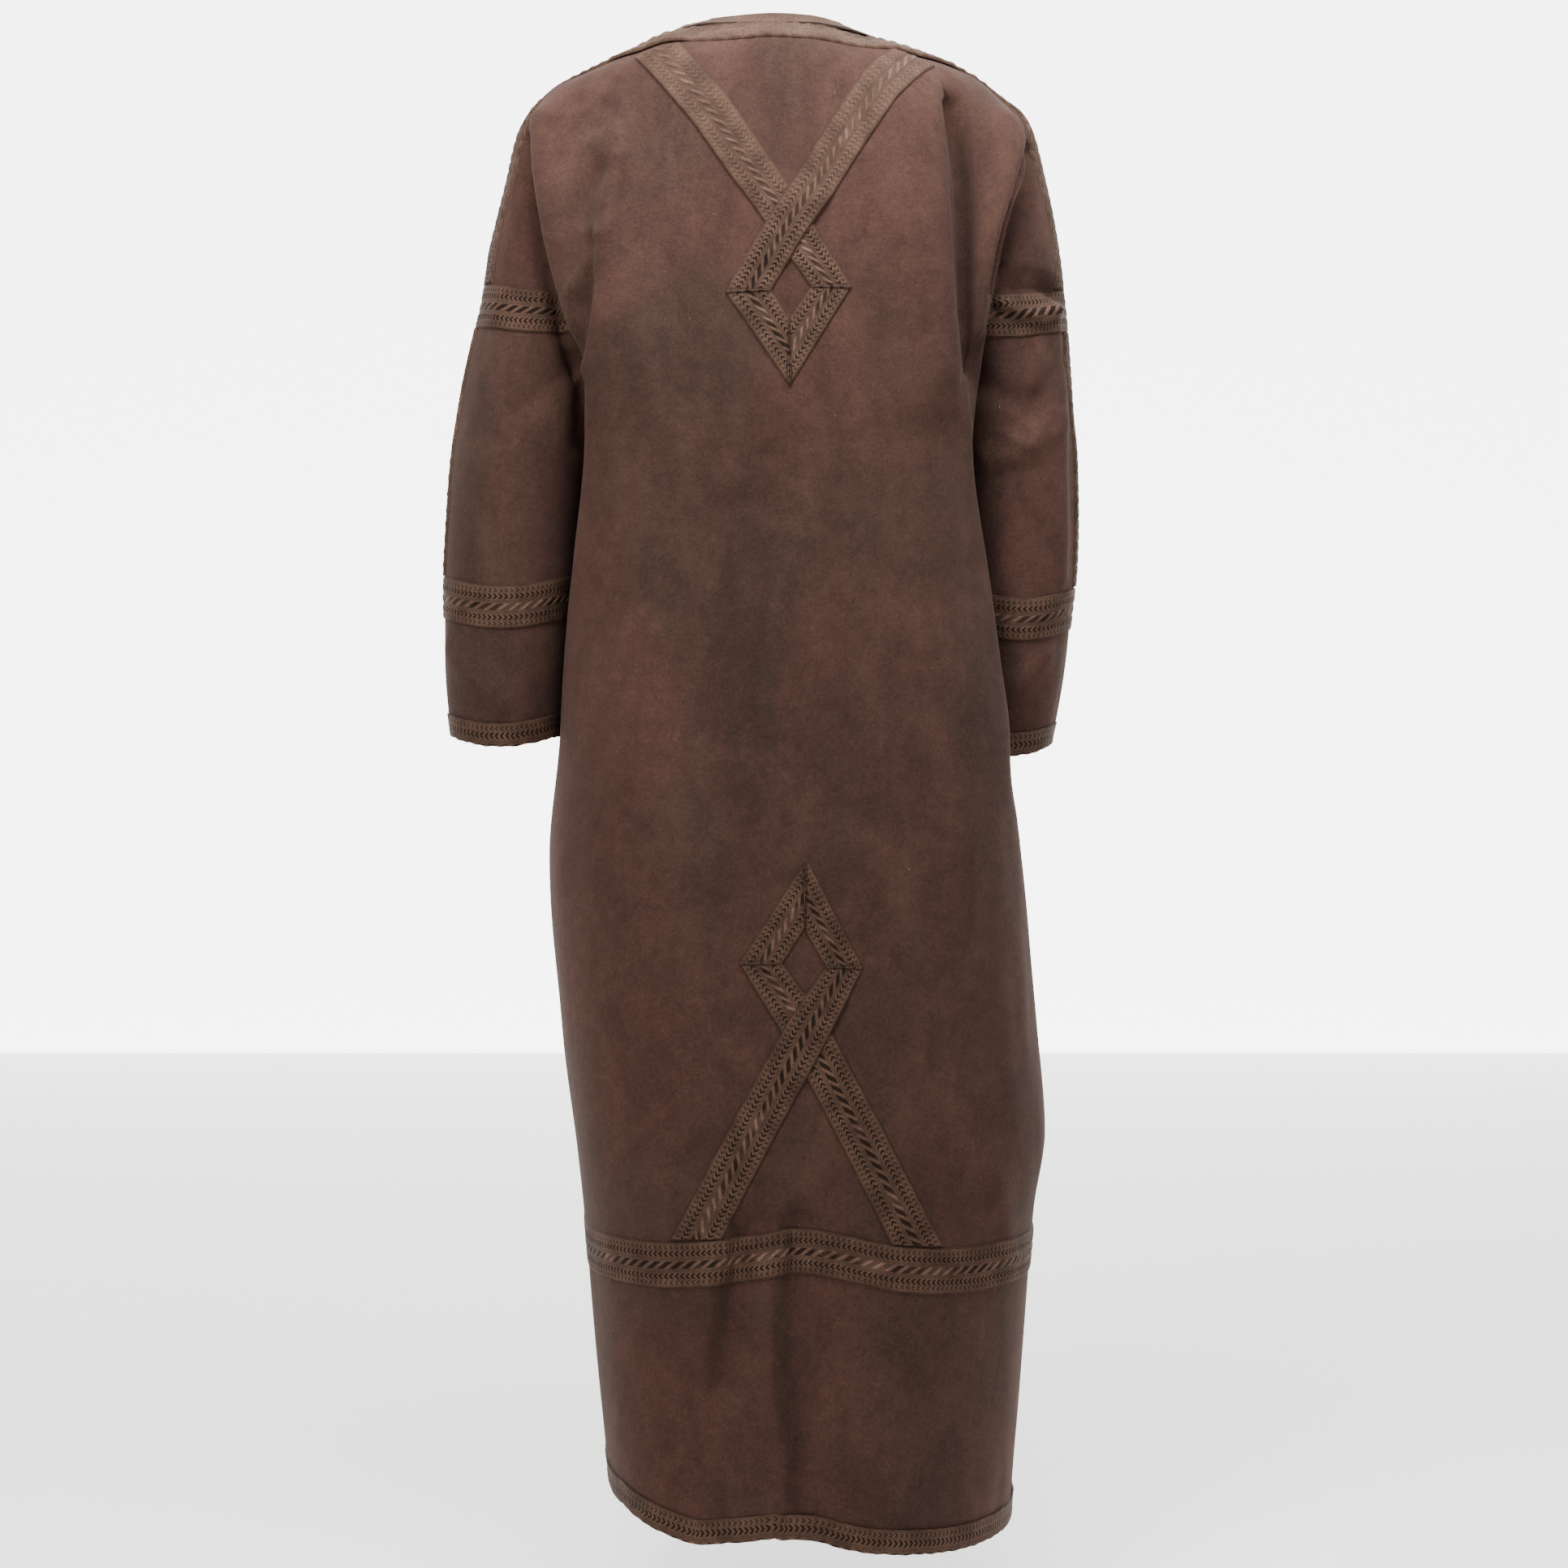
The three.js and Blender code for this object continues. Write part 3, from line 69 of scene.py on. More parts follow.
# Half sections of the torso's back: z, then out (x) and back (y) of each drape line, then the side
TORSO = {
    "left": np.array([
        [0, 34, 54, 56, 44, 62, 38, 68, 32, 73, 26, 76.5, 20.5, 79],
        [-13, 43, 73, 79, 61, 89, 53, 98, 44, 105, 35, 111, 27, 116],
        [-33, 60, 104, 107, 88, 121, 77, 134, 65, 145, 51, 153, 38, 160],
        [-50, 66, 115, 126, 101, 145, 89, 160, 77, 175, 59, 185, 43, 192],
        [-75, 70, 119, 134, 109, 156, 97, 178, 86, 200, 67, 209, 50, 215],
        [-95, 72, 121, 137, 113, 160, 101, 188, 92, 212, 72, 217, 55, 220],
        [-135, 74, 123, 140, 117, 164, 106, 190, 100, 212, 82, 215, 67, 209],
        [-175, 75, 124, 147, 119, 170, 109, 190, 106, 206, 90, 205, 76, 189],
        [-205, 75, 124, 152, 119, 172, 111, 188, 107, 200, 94, 190, 80, 158],
        [-225, 74, 124, 154, 119, 171, 112, 184, 106, 195, 94, 146, 68, 129],
        [-236, 74, 124, 155, 119, 170, 112, 182, 106, 192, 94, 144, 68, 124],
        [-250, 73, 124, 155, 119, 168, 112, 180, 105, 189, 93, 144, 68, 123.5],
        [-280, 71, 124, 152, 119, 164, 111, 174, 104, 181, 92, 147, 66, 131],
        [-317, 69, 123, 143, 118, 153, 110, 161, 102, 166, 90, 158, 58, 146],
        [-350, 67, 122, 134, 117, 147, 108, 157, 98, 164, 84, 165, 48, 156],
        [-385, 65, 122, 128, 115, 143, 105, 155, 92, 164, 76, 169, 42, 166],
        [-487, 66, 124, 126, 114, 142, 104, 156, 90, 171, 72, 181.5, 38, 179],
        [-570, 68, 129, 130, 116, 147, 105, 162, 90, 176, 71, 189, 37, 188.5],
        [-640, 70, 134, 134, 119, 152, 106, 167, 90, 180, 70, 192.5, 36, 193],
        [-746, 74, 143, 141, 126, 160, 113, 176, 95, 191, 73, 202, 38, 205],
        [-900, 74, 153, 138, 133, 155, 119, 169, 101, 181, 77, 190, 40, 193],
        [-1060, 72, 165, 130, 141, 144, 126, 155, 107, 164, 82, 171, 42, 173],
        [-1200, 70, 174, 124, 147, 137, 131, 147, 110, 155, 84, 160, 43, 161.5],
        [-1330, 67, 182, 118, 152, 129, 134, 138, 112, 144, 85, 148, 43, 148],
    ], float),
    "right": np.array([
        [0, 34, 54, 56, 44, 62, 38, 68, 32, 73, 26, 76.5, 20.5, 80],
        [-13, 43, 73, 77, 61, 87, 53, 96, 44, 102, 35, 108, 27, 112],
        [-33, 60, 104, 110, 89, 122, 77, 135, 65, 147, 52, 155, 38, 162],
        [-50, 66, 115, 128, 103, 143, 90, 158, 79, 174, 61, 184, 44, 191],
        [-75, 70, 119, 140, 112, 149, 100, 172, 92, 198, 70, 208, 50, 214],
        [-95, 72, 121, 143, 116, 152, 100, 176, 98, 214, 76, 219, 56, 220],
        [-135, 74, 123, 146, 121, 154.5, 100, 180, 104, 219, 84, 222, 68, 214],
        [-175, 75, 125, 148, 124, 156, 100, 180, 108, 210, 92, 208, 78, 194],
        [-205, 75, 125, 150, 125, 157.5, 101, 179, 109, 202, 97, 192, 82, 161],
        [-225, 75, 125, 151, 125, 158, 101, 178, 109, 197, 98, 148, 70, 132],
        [-236, 75, 125, 152, 125, 158.5, 101, 177, 108, 195, 98, 147, 70, 127],
        [-250, 74, 125, 154, 124, 159.5, 102, 176, 108, 192, 97, 147, 70, 126],
        [-280, 73, 125, 156, 122, 161, 103, 174, 106, 186, 95, 149, 66, 132],
        [-317, 72, 124, 159, 119, 164.5, 104, 172, 102, 180, 92, 155, 62, 143],
        [-350, 70, 123, 155, 118, 164, 106, 171, 98, 176, 86, 160, 58, 148],
        [-385, 68, 123, 140, 117, 156, 107, 167, 95, 173.5, 80, 168, 52, 154],
        [-487, 70, 126, 140, 117, 159, 106, 174, 92, 187, 76, 183, 46, 166],
        [-570, 72, 132, 146, 122, 167, 110, 184, 95, 198, 76, 194, 46, 168],
        [-640, 74, 137, 152, 126, 174, 113, 192, 98, 207, 78, 204, 44, 170],
        [-668, 75, 139, 153, 127, 175, 113, 193, 98, 208, 77, 206, 43, 171],
        [-715, 76, 141, 156, 128, 178, 114, 196, 98, 211, 76, 217, 40, 202],
        [-780, 79, 146, 159, 129, 182, 115, 201, 97, 216, 73, 225, 38, 223],
        [-900, 82, 153, 164, 133, 188, 118, 208, 99, 224, 75, 234, 39, 237],
        [-993, 84, 160, 168, 139, 192, 123, 213, 104, 230, 78, 241, 40, 244],
        [-1060, 82, 165, 160, 143, 183, 127, 203, 107, 220, 80, 231, 41, 234],
        [-1200, 78, 174, 152, 150, 174, 133, 193, 111, 209, 83, 220, 43, 224.5],
        [-1330, 75, 182, 144, 156, 165, 138, 183, 115, 198, 86, 209, 44, 213],
    ], float),
}

# z, how far back the centre of the back lies, and how deep the front is next to the back
CENTRE = np.array([
    [0, 62, 1], [-13, 79, 1], [-23, 96, 1], [-33, 110, 1], [-50, 116, 0.99], [-75, 120, 0.98],
    [-135, 124, 0.96], [-225, 125, 0.96], [-317, 124, 0.96], [-385, 122.5, 0.95],
    [-487, 126, 0.94], [-570, 132, 0.92], [-640, 137, 0.91], [-746, 146, 0.88],
    [-900, 156, 0.86], [-1060, 169, 0.83], [-1200, 178, 0.81], [-1330, 187, 0.8],
], float)

# The arm's rings: z, outer line, half width, half depth, how far forward, and the angle at which
# the torso's cloth leaves the ring above the armpit
ARM = {
    "left": np.array([
        [0, 83, 30, 30, 0, 150], [-13, 120, 38, 37, 0, 150], [-33, 168, 60, 50, 0, 150],
        [-50, 200, 62, 51, 0, 148], [-60, 209.5, 62, 51, 0, 147], [-75, 223, 62, 52, 0, 145],
        [-95, 234, 63, 54, 0, 138], [-135, 243, 65, 58, 0, 118], [-175, 252.5, 66.25, 62, 0, 92],
        [-205, 259.5, 66.75, 64, 0, 58], [-216, 261, 66.75, 64.5, 0, 32], [-225, 262.5, 66.75, 65, 0, 0],
        [-250, 266.5, 66.75, 65, 0, 0], [-280, 274.5, 66.75, 65, 0, 0], [-317, 283, 66, 65, 0, 0],
        [-350, 289, 64, 65, 0, 0], [-385, 294, 62, 66, 0, 0], [-440, 298, 60, 65, 1, 0],
        [-508, 301, 58, 64, 2, 0], [-570, 301, 55.5, 61, 4, 0], [-620, 298, 51, 56, 6, 0],
        [-660, 292, 48, 51, 8, 0],
    ], float),
    "right": np.array([
        [0, 84, 30, 30, 0, 150], [-13, 116, 36, 36, 0, 150], [-33, 171, 60, 50, 0, 150],
        [-50, 200, 62, 51, 0, 148], [-60, 211, 62, 51, 0, 147], [-75, 225, 62, 52, 0, 145],
        [-95, 235, 63, 54, 0, 138], [-135, 244.5, 63, 58, 0, 118], [-175, 253, 64, 62, 0, 92],
        [-205, 258, 64, 64, 0, 58], [-216, 259.5, 64.25, 64.5, 0, 32], [-225, 260.5, 64.25, 65, 0, 0],
        [-250, 263, 64, 66, 0, 0], [-280, 265.5, 62.25, 67, 1, 0], [-317, 268, 59.75, 68, 3, 0],
        [-350, 270.5, 58.25, 69, 6, 0], [-385, 274.5, 57.25, 70, 10, 0], [-440, 276, 55, 70, 15, 0],
        [-487, 275, 52.5, 70, 20, 0], [-530, 271, 49.5, 69, 23, 0], [-570, 267, 47.5, 67, 25, 0],
        [-620, 259, 43, 62, 27, 0], [-660, 250, 40, 58, 28, 0],
    ], float),
}

# How the level lines of the skirt hang above (+) or below (-) their row, at the drape lines
SAG = {
    "left": np.array([
        [-600, 0, 0, 0, 0, 0, 0, 0, 0], [-1096, 9, 1, -4, -5, -6, -6, -3, 0],
        [-1325, 5, 0, 16, 21, 23, 26, 30, 34],
    ], float),
    "right": np.array([
        [-600, 0, 0, 0, 0, 0, 0, 0, 0], [-1096, 9, 1, -4, -5, -5, -5, -5, -5],
        [-1325, 3, -7, -14, -15, -15, -15, -16, -16],
    ], float),
}

# The right arm presses the front in beside it: z, then how far at valley, lump, drape, under, side
PRESS = np.array([
    [-340, 0, 0, 0, 0, 0], [-400, 0, 0, 3, 9, 0], [-465, 0, 2, 10, 18, 0], [-550, 0, 6, 22, 28, 0],
    [-635, 2, 10, 32, 40, 0], [-668, 2, 10, 32, 40, 0], [-730, 0, 0, 0, 0, 0],
], float)

# The front neck: column, and how far its top is moved from the back's neck line (x, z)
SCOOP = np.array([
    [0, 0, -108], [1, 5, -103], [2, 10, -88], [3, 10, -62], [4, 8, -38], [5, 6, -23],
    [6, 4, -12], [7, 2, -6], [8, 1, -2], [9, 0, 0],
], float)

# Folds of the panels: path (x, z), height out of the cloth, half width
FOLDS = {
    "back": [
        ([[-21, -334], [-41, -422]], 3, 16),
        ([[-4, -444], [2, -553], [3, -662]], -3.5, 22),
        ([[-150, -92], [-172, -112], [-185, -140]], -4, 12),
        ([[-135, -120], [-150, -185], [-160, -225]], 4, 11),
        ([[82, -744], [105, -785], [112, -825]], 4, 18),
        ([[-31, -1072], [-48, -1186]], -4.5, 18),
        ([[10, -1072], [14, -1275]], -5, 20),
        ([[190, -1008], [203, -1055], [204, -1094]], 4, 12),
        ([[-110, -560], [-104, -760], [-96, -1000], [-92, -1320]], 5, 26),
        ([[118, -640], [126, -860], [112, -1100], [104, -1320]], 5, 28),
    ],
    "front": [
        ([[-60, -260], [-66, -560], [-58, -900], [-54, -1320]], 5, 24),
        ([[58, -230], [66, -620], [76, -980], [82, -1320]], 5, 26),
        ([[0, -300], [6, -700], [4, -1320]], -4, 26),
    ],
}

# Sharp creases of the fine cloth, seen from the back: path (x, z) from the top down, how far they
# stand out, and how far they fade to the left and to the right
CREASES = [
    ([[-216, -101], [-211, -141], [-205, -179], [-194, -226], [-181, -279], [-166, -315]],
     4.5, 3, 16),
    ([[-221, -104], [-217, -141], [-212, -179], [-202, -226], [-190, -279], [-176, -315]],
     -13, 8, 4),
    ([[-150, -205], [-154, -267], [-161, -320], [-164, -377], [-175, -487]], 6.0, 3.5, 22),
    ([[-158, -215], [-163, -267], [-169, -320], [-172, -377]], -8, 9, 4),
    ([[-135, -139], [-148, -192], [-157, -222], [-175, -249]], 5.5, 5, 11),
    ([[-175, -83], [-184, -96], [-192, -109]], -3.0, 8, 8),
    ([[-141, -73], [-156, -109]], -2.5, 8, 8),
    ([[-155, -150], [-166, -171], [-170, -190]], -5.5, 11, 11),
    ([[145, -82], [154, -157], [156, -222], [158, -275], [163, -328], [171, -377]], 2.5, 22, 2.5),
    ([[150, -90], [159, -157], [161, -222], [163, -275], [168, -322]], -13, 3.5, 15),
    ([[220, -108], [214, -134], [207, -162], [198, -190], [190, -218], [183.5, -260], [180, -290]],
     4.5, 15, 3),
    ([[227, -110], [221, -134], [214, -162], [205, -190], [198, -218], [192, -250]], -10, 3.5, 11),
    ([[215, -240], [238, -238], [252, -243]], -10, 9, 9),
    ([[200, -257], [215, -264], [231, -269], [250, -259]], 7, 5, 7),
    ([[207, -377], [227, -385], [248, -351]], 3.0, 4, 8),
    ([[250, -262], [260, -339], [258, -397], [261, -455], [260, -500]], 3.0, 8, 4),
    ([[235, -290], [230, -330]], 2.5, 4, 7),
    ([[-234, -165], [-238, -229], [-248, -279], [-245, -394]], 2.5, 12, 7),
    ([[-40, -1066], [-47, -1110], [-55, -1186]], 6, 24, 7),
    ([[-31, -1066], [-37, -1110], [-43, -1186]], -5, 6, 20),
    ([[4, -1066], [1, -1150], [9, -1275]], 6, 22, 8),
    ([[14, -1066], [11, -1150], [19, -1275]], -6, 6, 22),
    ([[-58, -400], [-64, -480], [-66, -560], [-60, -640]], -3.5, 9, 16),
    ([[-36, -420], [-36, -600]], 2, 9, 9),
    ([[-8, -400], [-10, -500], [-6, -600]], -3.5, 8, 13),
]

# Painted shade along the creases and folds of the back, partly darker nap: the path (x, z), how dark
# it is from 0 to 1, and its width to the left and to the right
SHADE_AND_NAP_MARKS = [
    ([[-38, -1068], [-41, -1085], [-48, -1110], [-55, -1160], [-57, -1183]], 1.0, 3, 17),
    ([[8, -1050], [3, -1100], [1, -1160], [2, -1200], [9, -1245], [12, -1290]], 1.0, 3, 16),
    ([[-14, -1015], [-14, -1052]], 0.8, 5, 12),
    ([[168, -120], [172, -200], [176, -280], [180, -360]], 0.5, 8, 14),
    ([[-20, -330], [-30, -420], [-28, -560], [-10, -690]], 0.6, 30, 45),
    ([[60, -420], [70, -520], [60, -640]], 0.45, 25, 30),
]

# Folds of the sleeves: path (angle from the inner side round by the back, z)
SLEEVE_FOLDS = {
    "left": [
        ([[60, -300], [95, -345]], -3, 12),
        ([[110, -380], [80, -450]], 3, 14),
        ([[150, -560], [85, -600]], 3, 12),
    ],
    "right": [
        ([[70, -318], [105, -335], [150, -300]], -3.5, 11),
        ([[60, -384], [100, -372], [140, -352]], 4, 11),
        ([[120, -560], [70, -590]], 3, 12),
    ],
}


# ---------------------------------------------------------------- curves through tables
def mix(a, b, share):
    return a * (1 - share) + b * share


def unit(vectors):
    return vectors / np.linalg.norm(vectors, axis=-1, keepdims=True)


def hermite(t, start, end, leaving, arriving):
    """A cubic from start to end; leaving and arriving are its slopes for a step of one."""
    t2 = t * t
    t3 = t2 * t
    return ((2 * t3 - 3 * t2 + 1) * start + (t3 - 2 * t2 + t) * leaving
            + (3 * t2 - 2 * t3) * end + (t3 - t2) * arriving)


def smooth_step(value, low, high):
    t = np.clip((value - low) / (high - low), 0, 1)
    return t * t * (3 - 2 * t)


def smooth_at(rows, z):
    """Every column of a table at height z, on monotone curves through its rows."""
    heights = rows[:, 0]
    if z >= heights[0]:
        return rows[0]
    if z <= heights[-1]:
        return rows[-1]
    i = int(np.searchsorted(-heights, -z, side="right")) - 1
    slopes = (rows[1:] - rows[:-1]) / (heights[1:] - heights[:-1])[:, None]

    def tangent(j):
        if j == 0:
            return slopes[0]
        if j == len(rows) - 1:
            return slopes[-1]
        product = slopes[j - 1] * slopes[j]
        total = slopes[j - 1] + slopes[j]
        return np.where(product <= 0, 0.0, 2 * product / np.where(total == 0, 1.0, total))

    step = heights[i + 1] - heights[i]
    return hermite((z - heights[i]) / step, rows[i], rows[i + 1],
                   step * tangent(i), step * tangent(i + 1))


def beside(x, z, path, left, right):
    """1 on the path, and less to each side of it over the left and the right width."""
    nearest = np.full(np.shape(x), 1e9)
    width = np.full(np.shape(x), float(left))
    for (ax, az), (bx, bz) in zip(path[:-1], path[1:]):
        dx = bx - ax
        dz = bz - az
        share = np.clip(((x - ax) * dx + (z - az) * dz) / (dx * dx + dz * dz), 0, 1)
        away = np.hypot(x - ax - share * dx, z - az - share * dz)
        turn = (x - ax) * -dz + (z - az) * dx
        closer = away < nearest
        nearest = np.where(closer, away, nearest)
        width = np.where(closer, np.where(turn > 0, right, left), width)
    return np.exp(-((nearest / width) ** 2))


def arm_points(side, z, degrees):
    """Points (out, y) of the arm's ring at angles from the inner side round by the back."""
    _, outer, half, depth, forward, _ = smooth_at(ARM[side], z)
    a = np.radians(degrees)
    around = np.asarray(degrees) * MM_PER_DEGREE
    grow = np.zeros(np.shape(degrees))
    for path, height, width in SLEEVE_FOLDS[side]:
        turned = [[angle * MM_PER_DEGREE, level] for angle, level in path]
        grow = grow + height * beside(around, z, turned, width, width)
    x = outer - half - (half + grow) * np.cos(a)
    return x, -(depth + grow) * np.sin(a), forward, depth


def arm_drop(offset, depth):
    """How much lower the arm rings hang at the back; offset is y from the ring's centre."""
    return np.where(offset < 0, ARM_TILT * offset ** 2 / depth, 0.0)


def drape_points(side, z):
    """The drape lines of the back's half section at a height, from the centre to the side."""
    row = smooth_at(TORSO[side], z)
    centre = smooth_at(CENTRE, z)
    points = [[0.0, -centre[1]]]
    for i in range(6):
        points.append([row[1 + 2 * i], -row[2 + 2 * i]])
    if z > ARMPIT:
        leave = smooth_at(ARM[side], z)[5]
        x, y, forward, _ = arm_points(side, z, leave)
        points.append([float(x), float(y)])
    else:
        points.append([row[13], 0.0])
    return np.array(points)


KNOTS = np.concatenate([[0], np.cumsum(STRETCHES)]).astype(float)


def torso_points(side, z, columns):
    """Points (out, y) of the back's half section at columns 0 to 13."""
    points = drape_points(side, z)
    across = drape_points(OTHER[side], z)[1]
    last = points[-1]
    before = points[-2]
    end = 2 * last - before if z > ARMPIT else np.array([before[0], -before[1]])
    knots = np.vstack([[-across[0], across[1]], points, end])
    spans = np.hypot(*(knots[1:] - knots[:-1]).T)
    slopes = (knots[1:] - knots[:-1]) / spans[:, None]
    a = spans[:-1, None]
    b = spans[1:, None]
    tangents = (slopes[:-1] * b + slopes[1:] * a) / (a + b)
    columns = np.asarray(columns, float)
    stretch = np.clip(np.searchsorted(KNOTS, columns, side="right") - 1, 0, len(STRETCHES) - 1)
    t = ((columns - KNOTS[stretch]) / np.array(STRETCHES)[stretch])[:, None]
    length = spans[stretch + 1][:, None]
    out = hermite(t, points[stretch], points[stretch + 1],
                  length * tangents[stretch], length * tangents[stretch + 1])
    return out[:, 0], out[:, 1]


def sag_at(side, z, columns):
    """How far the level line at z is moved up at the columns."""
    if z > SAG_TOP:
        return np.zeros(np.shape(columns))
    return np.interp(columns, KNOTS, smooth_at(SAG[side], z)[1:])


# Depth of the back on a fine grid of levels, to find a depth from x and z
LEVEL_STEP = 2.0
LOOK_COLUMNS = np.linspace(0, 8.99, 120)
DEPTHS = {}
for one_side in SIDES:
    DEPTHS[one_side] = [torso_points(one_side, level, LOOK_COLUMNS)
                        for level in np.arange(0.0, ARMPIT - 12, -LEVEL_STEP)]


def depth_at(side, x, z):
    """y of the unfolded back at (x, z) between the neck and the armpit."""
    levels = DEPTHS[side]
    out = np.zeros(len(x))
    for i, (one_x, one_z) in enumerate(zip(x, z)):
        where = min(max(-one_z / LEVEL_STEP, 0.0), len(levels) - 1.001)
        low = int(where)
        out[i] = mix(np.interp(one_x, *levels[low]), np.interp(one_x, *levels[low + 1]), where - low)
    return out


FOLDS_END = 11  # the folds of a panel end at this column
FOLDS_FADE = 3
SHALLOW_FADE = 6  # the front gets as deep as the back over these columns


def panel_row(sheet, side, z, columns):
    """One row of a half panel: an array of points (x, y, z) in millimetres."""
    columns = np.asarray(columns, float)
    sign = SIGN[side]
    face = 1.0 if sheet == "back" else -1.0
    out = np.zeros((len(columns), 3))
    arm = columns > TORSO_COLUMNS
    if arm.any():
        leave = smooth_at(ARM[side], z)[5]
        share = (columns[arm] - TORSO_COLUMNS) / ARM_COLUMNS
        x, y, forward, depth = arm_points(side, z, leave + (180 - leave) * share)
        drop = arm_drop(y, depth) if z < ARMPIT and sheet == "back" else 0.0
        out[arm] = np.stack([sign * x, forward + face * y, z - drop + np.zeros(len(x))], axis=1)
    body = ~arm
    if not body.any():
        return out
    inner = columns[body]
    x, y = torso_points(side, z, inner)
    height = np.full(len(inner), z)
    if sheet == "front" and z > ARMPIT:
        scooped = inner < SCOOP[-1, 0]
        move = (1 - z / ARMPIT) ** 2
        shift_x = np.interp(inner, SCOOP[:, 0], SCOOP[:, 1]) * move
        shift_z = np.interp(inner, SCOOP[:, 0], SCOOP[:, 2]) * move
        x = np.where(scooped, x + shift_x, x)
        height = np.where(scooped, height + shift_z, height)
        y = np.where(scooped, depth_at(side, x, height), y)
    if sheet == "front":
        fade = np.clip((FOLDS_END - inner) / SHALLOW_FADE, 0, 1)
        share = np.array([smooth_at(CENTRE, h)[2] for h in height])
        y = y * (1 + (share - 1) * fade)
        if side == "right" and z < PRESS_TOP:
            pressed = np.concatenate([[0], smooth_at(PRESS, z)[1:]])
            x = x - np.interp(inner, KNOTS[2:], pressed)
    calm = np.clip((FOLDS_END - inner) / FOLDS_FADE, 0, 1)
    for path, tall, width in FOLDS[sheet]:
        y = y - calm * (tall * beside(sign * x, height, path, width, width))
    if sheet == "back":
        sag = sag_at(side, z, inner) + hem_rise(sign * x, height)
    else:
        share = inner / TORSO_COLUMNS
        left, right = [sag_at(s, z, TORSO_COLUMNS) for s in SIDES]
        sag = mix((left + right) / 2, sag_at(side, z, TORSO_COLUMNS), share)
    out[body] = np.stack([sign * x, face * y, height + sag], axis=1)
    return out


# The hem of the back is drawn up a little where its binding is joined: how far, where and how wide
HEM_JOIN = (5.5, 30, 26)
HEM_JOIN_TOP = -1160.0


def hem_rise(x, z):
    most, middle, width = HEM_JOIN
    share = np.clip((HEM_JOIN_TOP - z) / (HEM_JOIN_TOP - HEM), 0, 1)
    return most * np.exp(-(((x - middle) / width) ** 2)) * share


# The shoulders settle below their drape lines: out from where and back to where, and how far
SETTLE = {"left": (92, 125, 170, 215, 4.5), "right": (30, 80, 195, 235, 6.0)}
SETTLED_BELOW = (-130, -60)  # nothing settles below the first height, all of it above the second
NECK_CORNER = np.array([-85.0, 0.0, 0.0])
CORNER_RISE = 5
CORNER_REACH = 22


def crumpled(points):
    """The shoulders settle, and the left neck corner stands up a little."""
    out = points.copy()
    near = np.linalg.norm(points - NECK_CORNER, axis=-1)
    x, z = points[..., 0], points[..., 2]
    drop = np.zeros(x.shape)
    for side in SIDES:
        a, b, c, d, most = SETTLE[side]
        here = most * smooth_step(np.abs(x), a, b) * (1 - smooth_step(np.abs(x), c, d))
        drop = np.where(x * SIGN[side] > 0, here, drop)
    rise = CORNER_RISE * np.exp(-((near / CORNER_REACH) ** 2))
    out[..., 2] += rise - drop * smooth_step(z, *SETTLED_BELOW)
    return out


# ---------------------------------------------------------------- meshes
def add_object(name, data):
    thing = bpy.data.objects.new(name, data)
    bpy.context.scene.collection.objects.link(thing)
    return thing


def new_mesh(name, corners, faces):
    """A mesh object in the scene, from points in metres."""
    mesh = bpy.data.meshes.new(name)
    mesh.from_pydata(corners, [], faces)
    return add_object(name, mesh)


def new_piece(name, points, faces, slot, node):
    """A smooth piece from points in millimetres, in the place of a node and riding on the one body."""
    piece = new_mesh(name, (np.asarray(points) * MM).tolist(), [list(map(int, f)) for f in faces])
    mesh = piece.data
    mesh.validate()
    mesh.polygons.foreach_set("use_smooth", [True] * len(mesh.polygons))
    mesh.materials.append(MATERIALS[slot])
    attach(piece, "root")
    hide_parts(node)
    return piece


def mark(piece, name, values):
    """A value at each point, for a material to read."""
    marks = piece.data.attributes.new(name, "FLOAT", "POINT")
    marks.data.foreach_set("value", values.astype(np.float32))


def faces_of_ids(ids, flip=False):
    """Quads between neighbours in a grid of point numbers."""
    quads = np.stack([ids[:-1, :-1], ids[1:, :-1], ids[1:, 1:], ids[:-1, 1:]], axis=-1).reshape(-1, 4)
    return quads[:, ::-1] if flip else quads


def grid_faces(rows, columns, wrap_rows=False, wrap_columns=False, flip=False):
    """Quads of a grid whose points are listed row by row; either way may be closed."""
    ids = np.arange(rows * columns).reshape(rows, columns)
    if wrap_rows:
        ids = np.vstack([ids, ids[:1]])
    if wrap_columns:
        ids = np.hstack([ids, ids[:, :1]])
    return faces_of_ids(ids, flip)


def facing(faces, points, index, outward):
    """The faces, turned over where the one at index doesn't look outward."""
    a, b, c, d = points[faces[index]]
    return faces[:, ::-1] if np.dot(np.cross(c - a, d - b), outward) < 0 else faces


def fine(start, end, step):
    """Even places from start to end, about a step apart."""
    count = max(1, int(round(abs(end - start) / step)))
    return np.linspace(start, end, count + 1)


# Grid of each panel: parts of a torso and an arm column, and row spacing above and below the armpit
GRID = {"back": (7, 6, 3.6, 5.2), "front": (4, 3, 5.5, 8.0)}


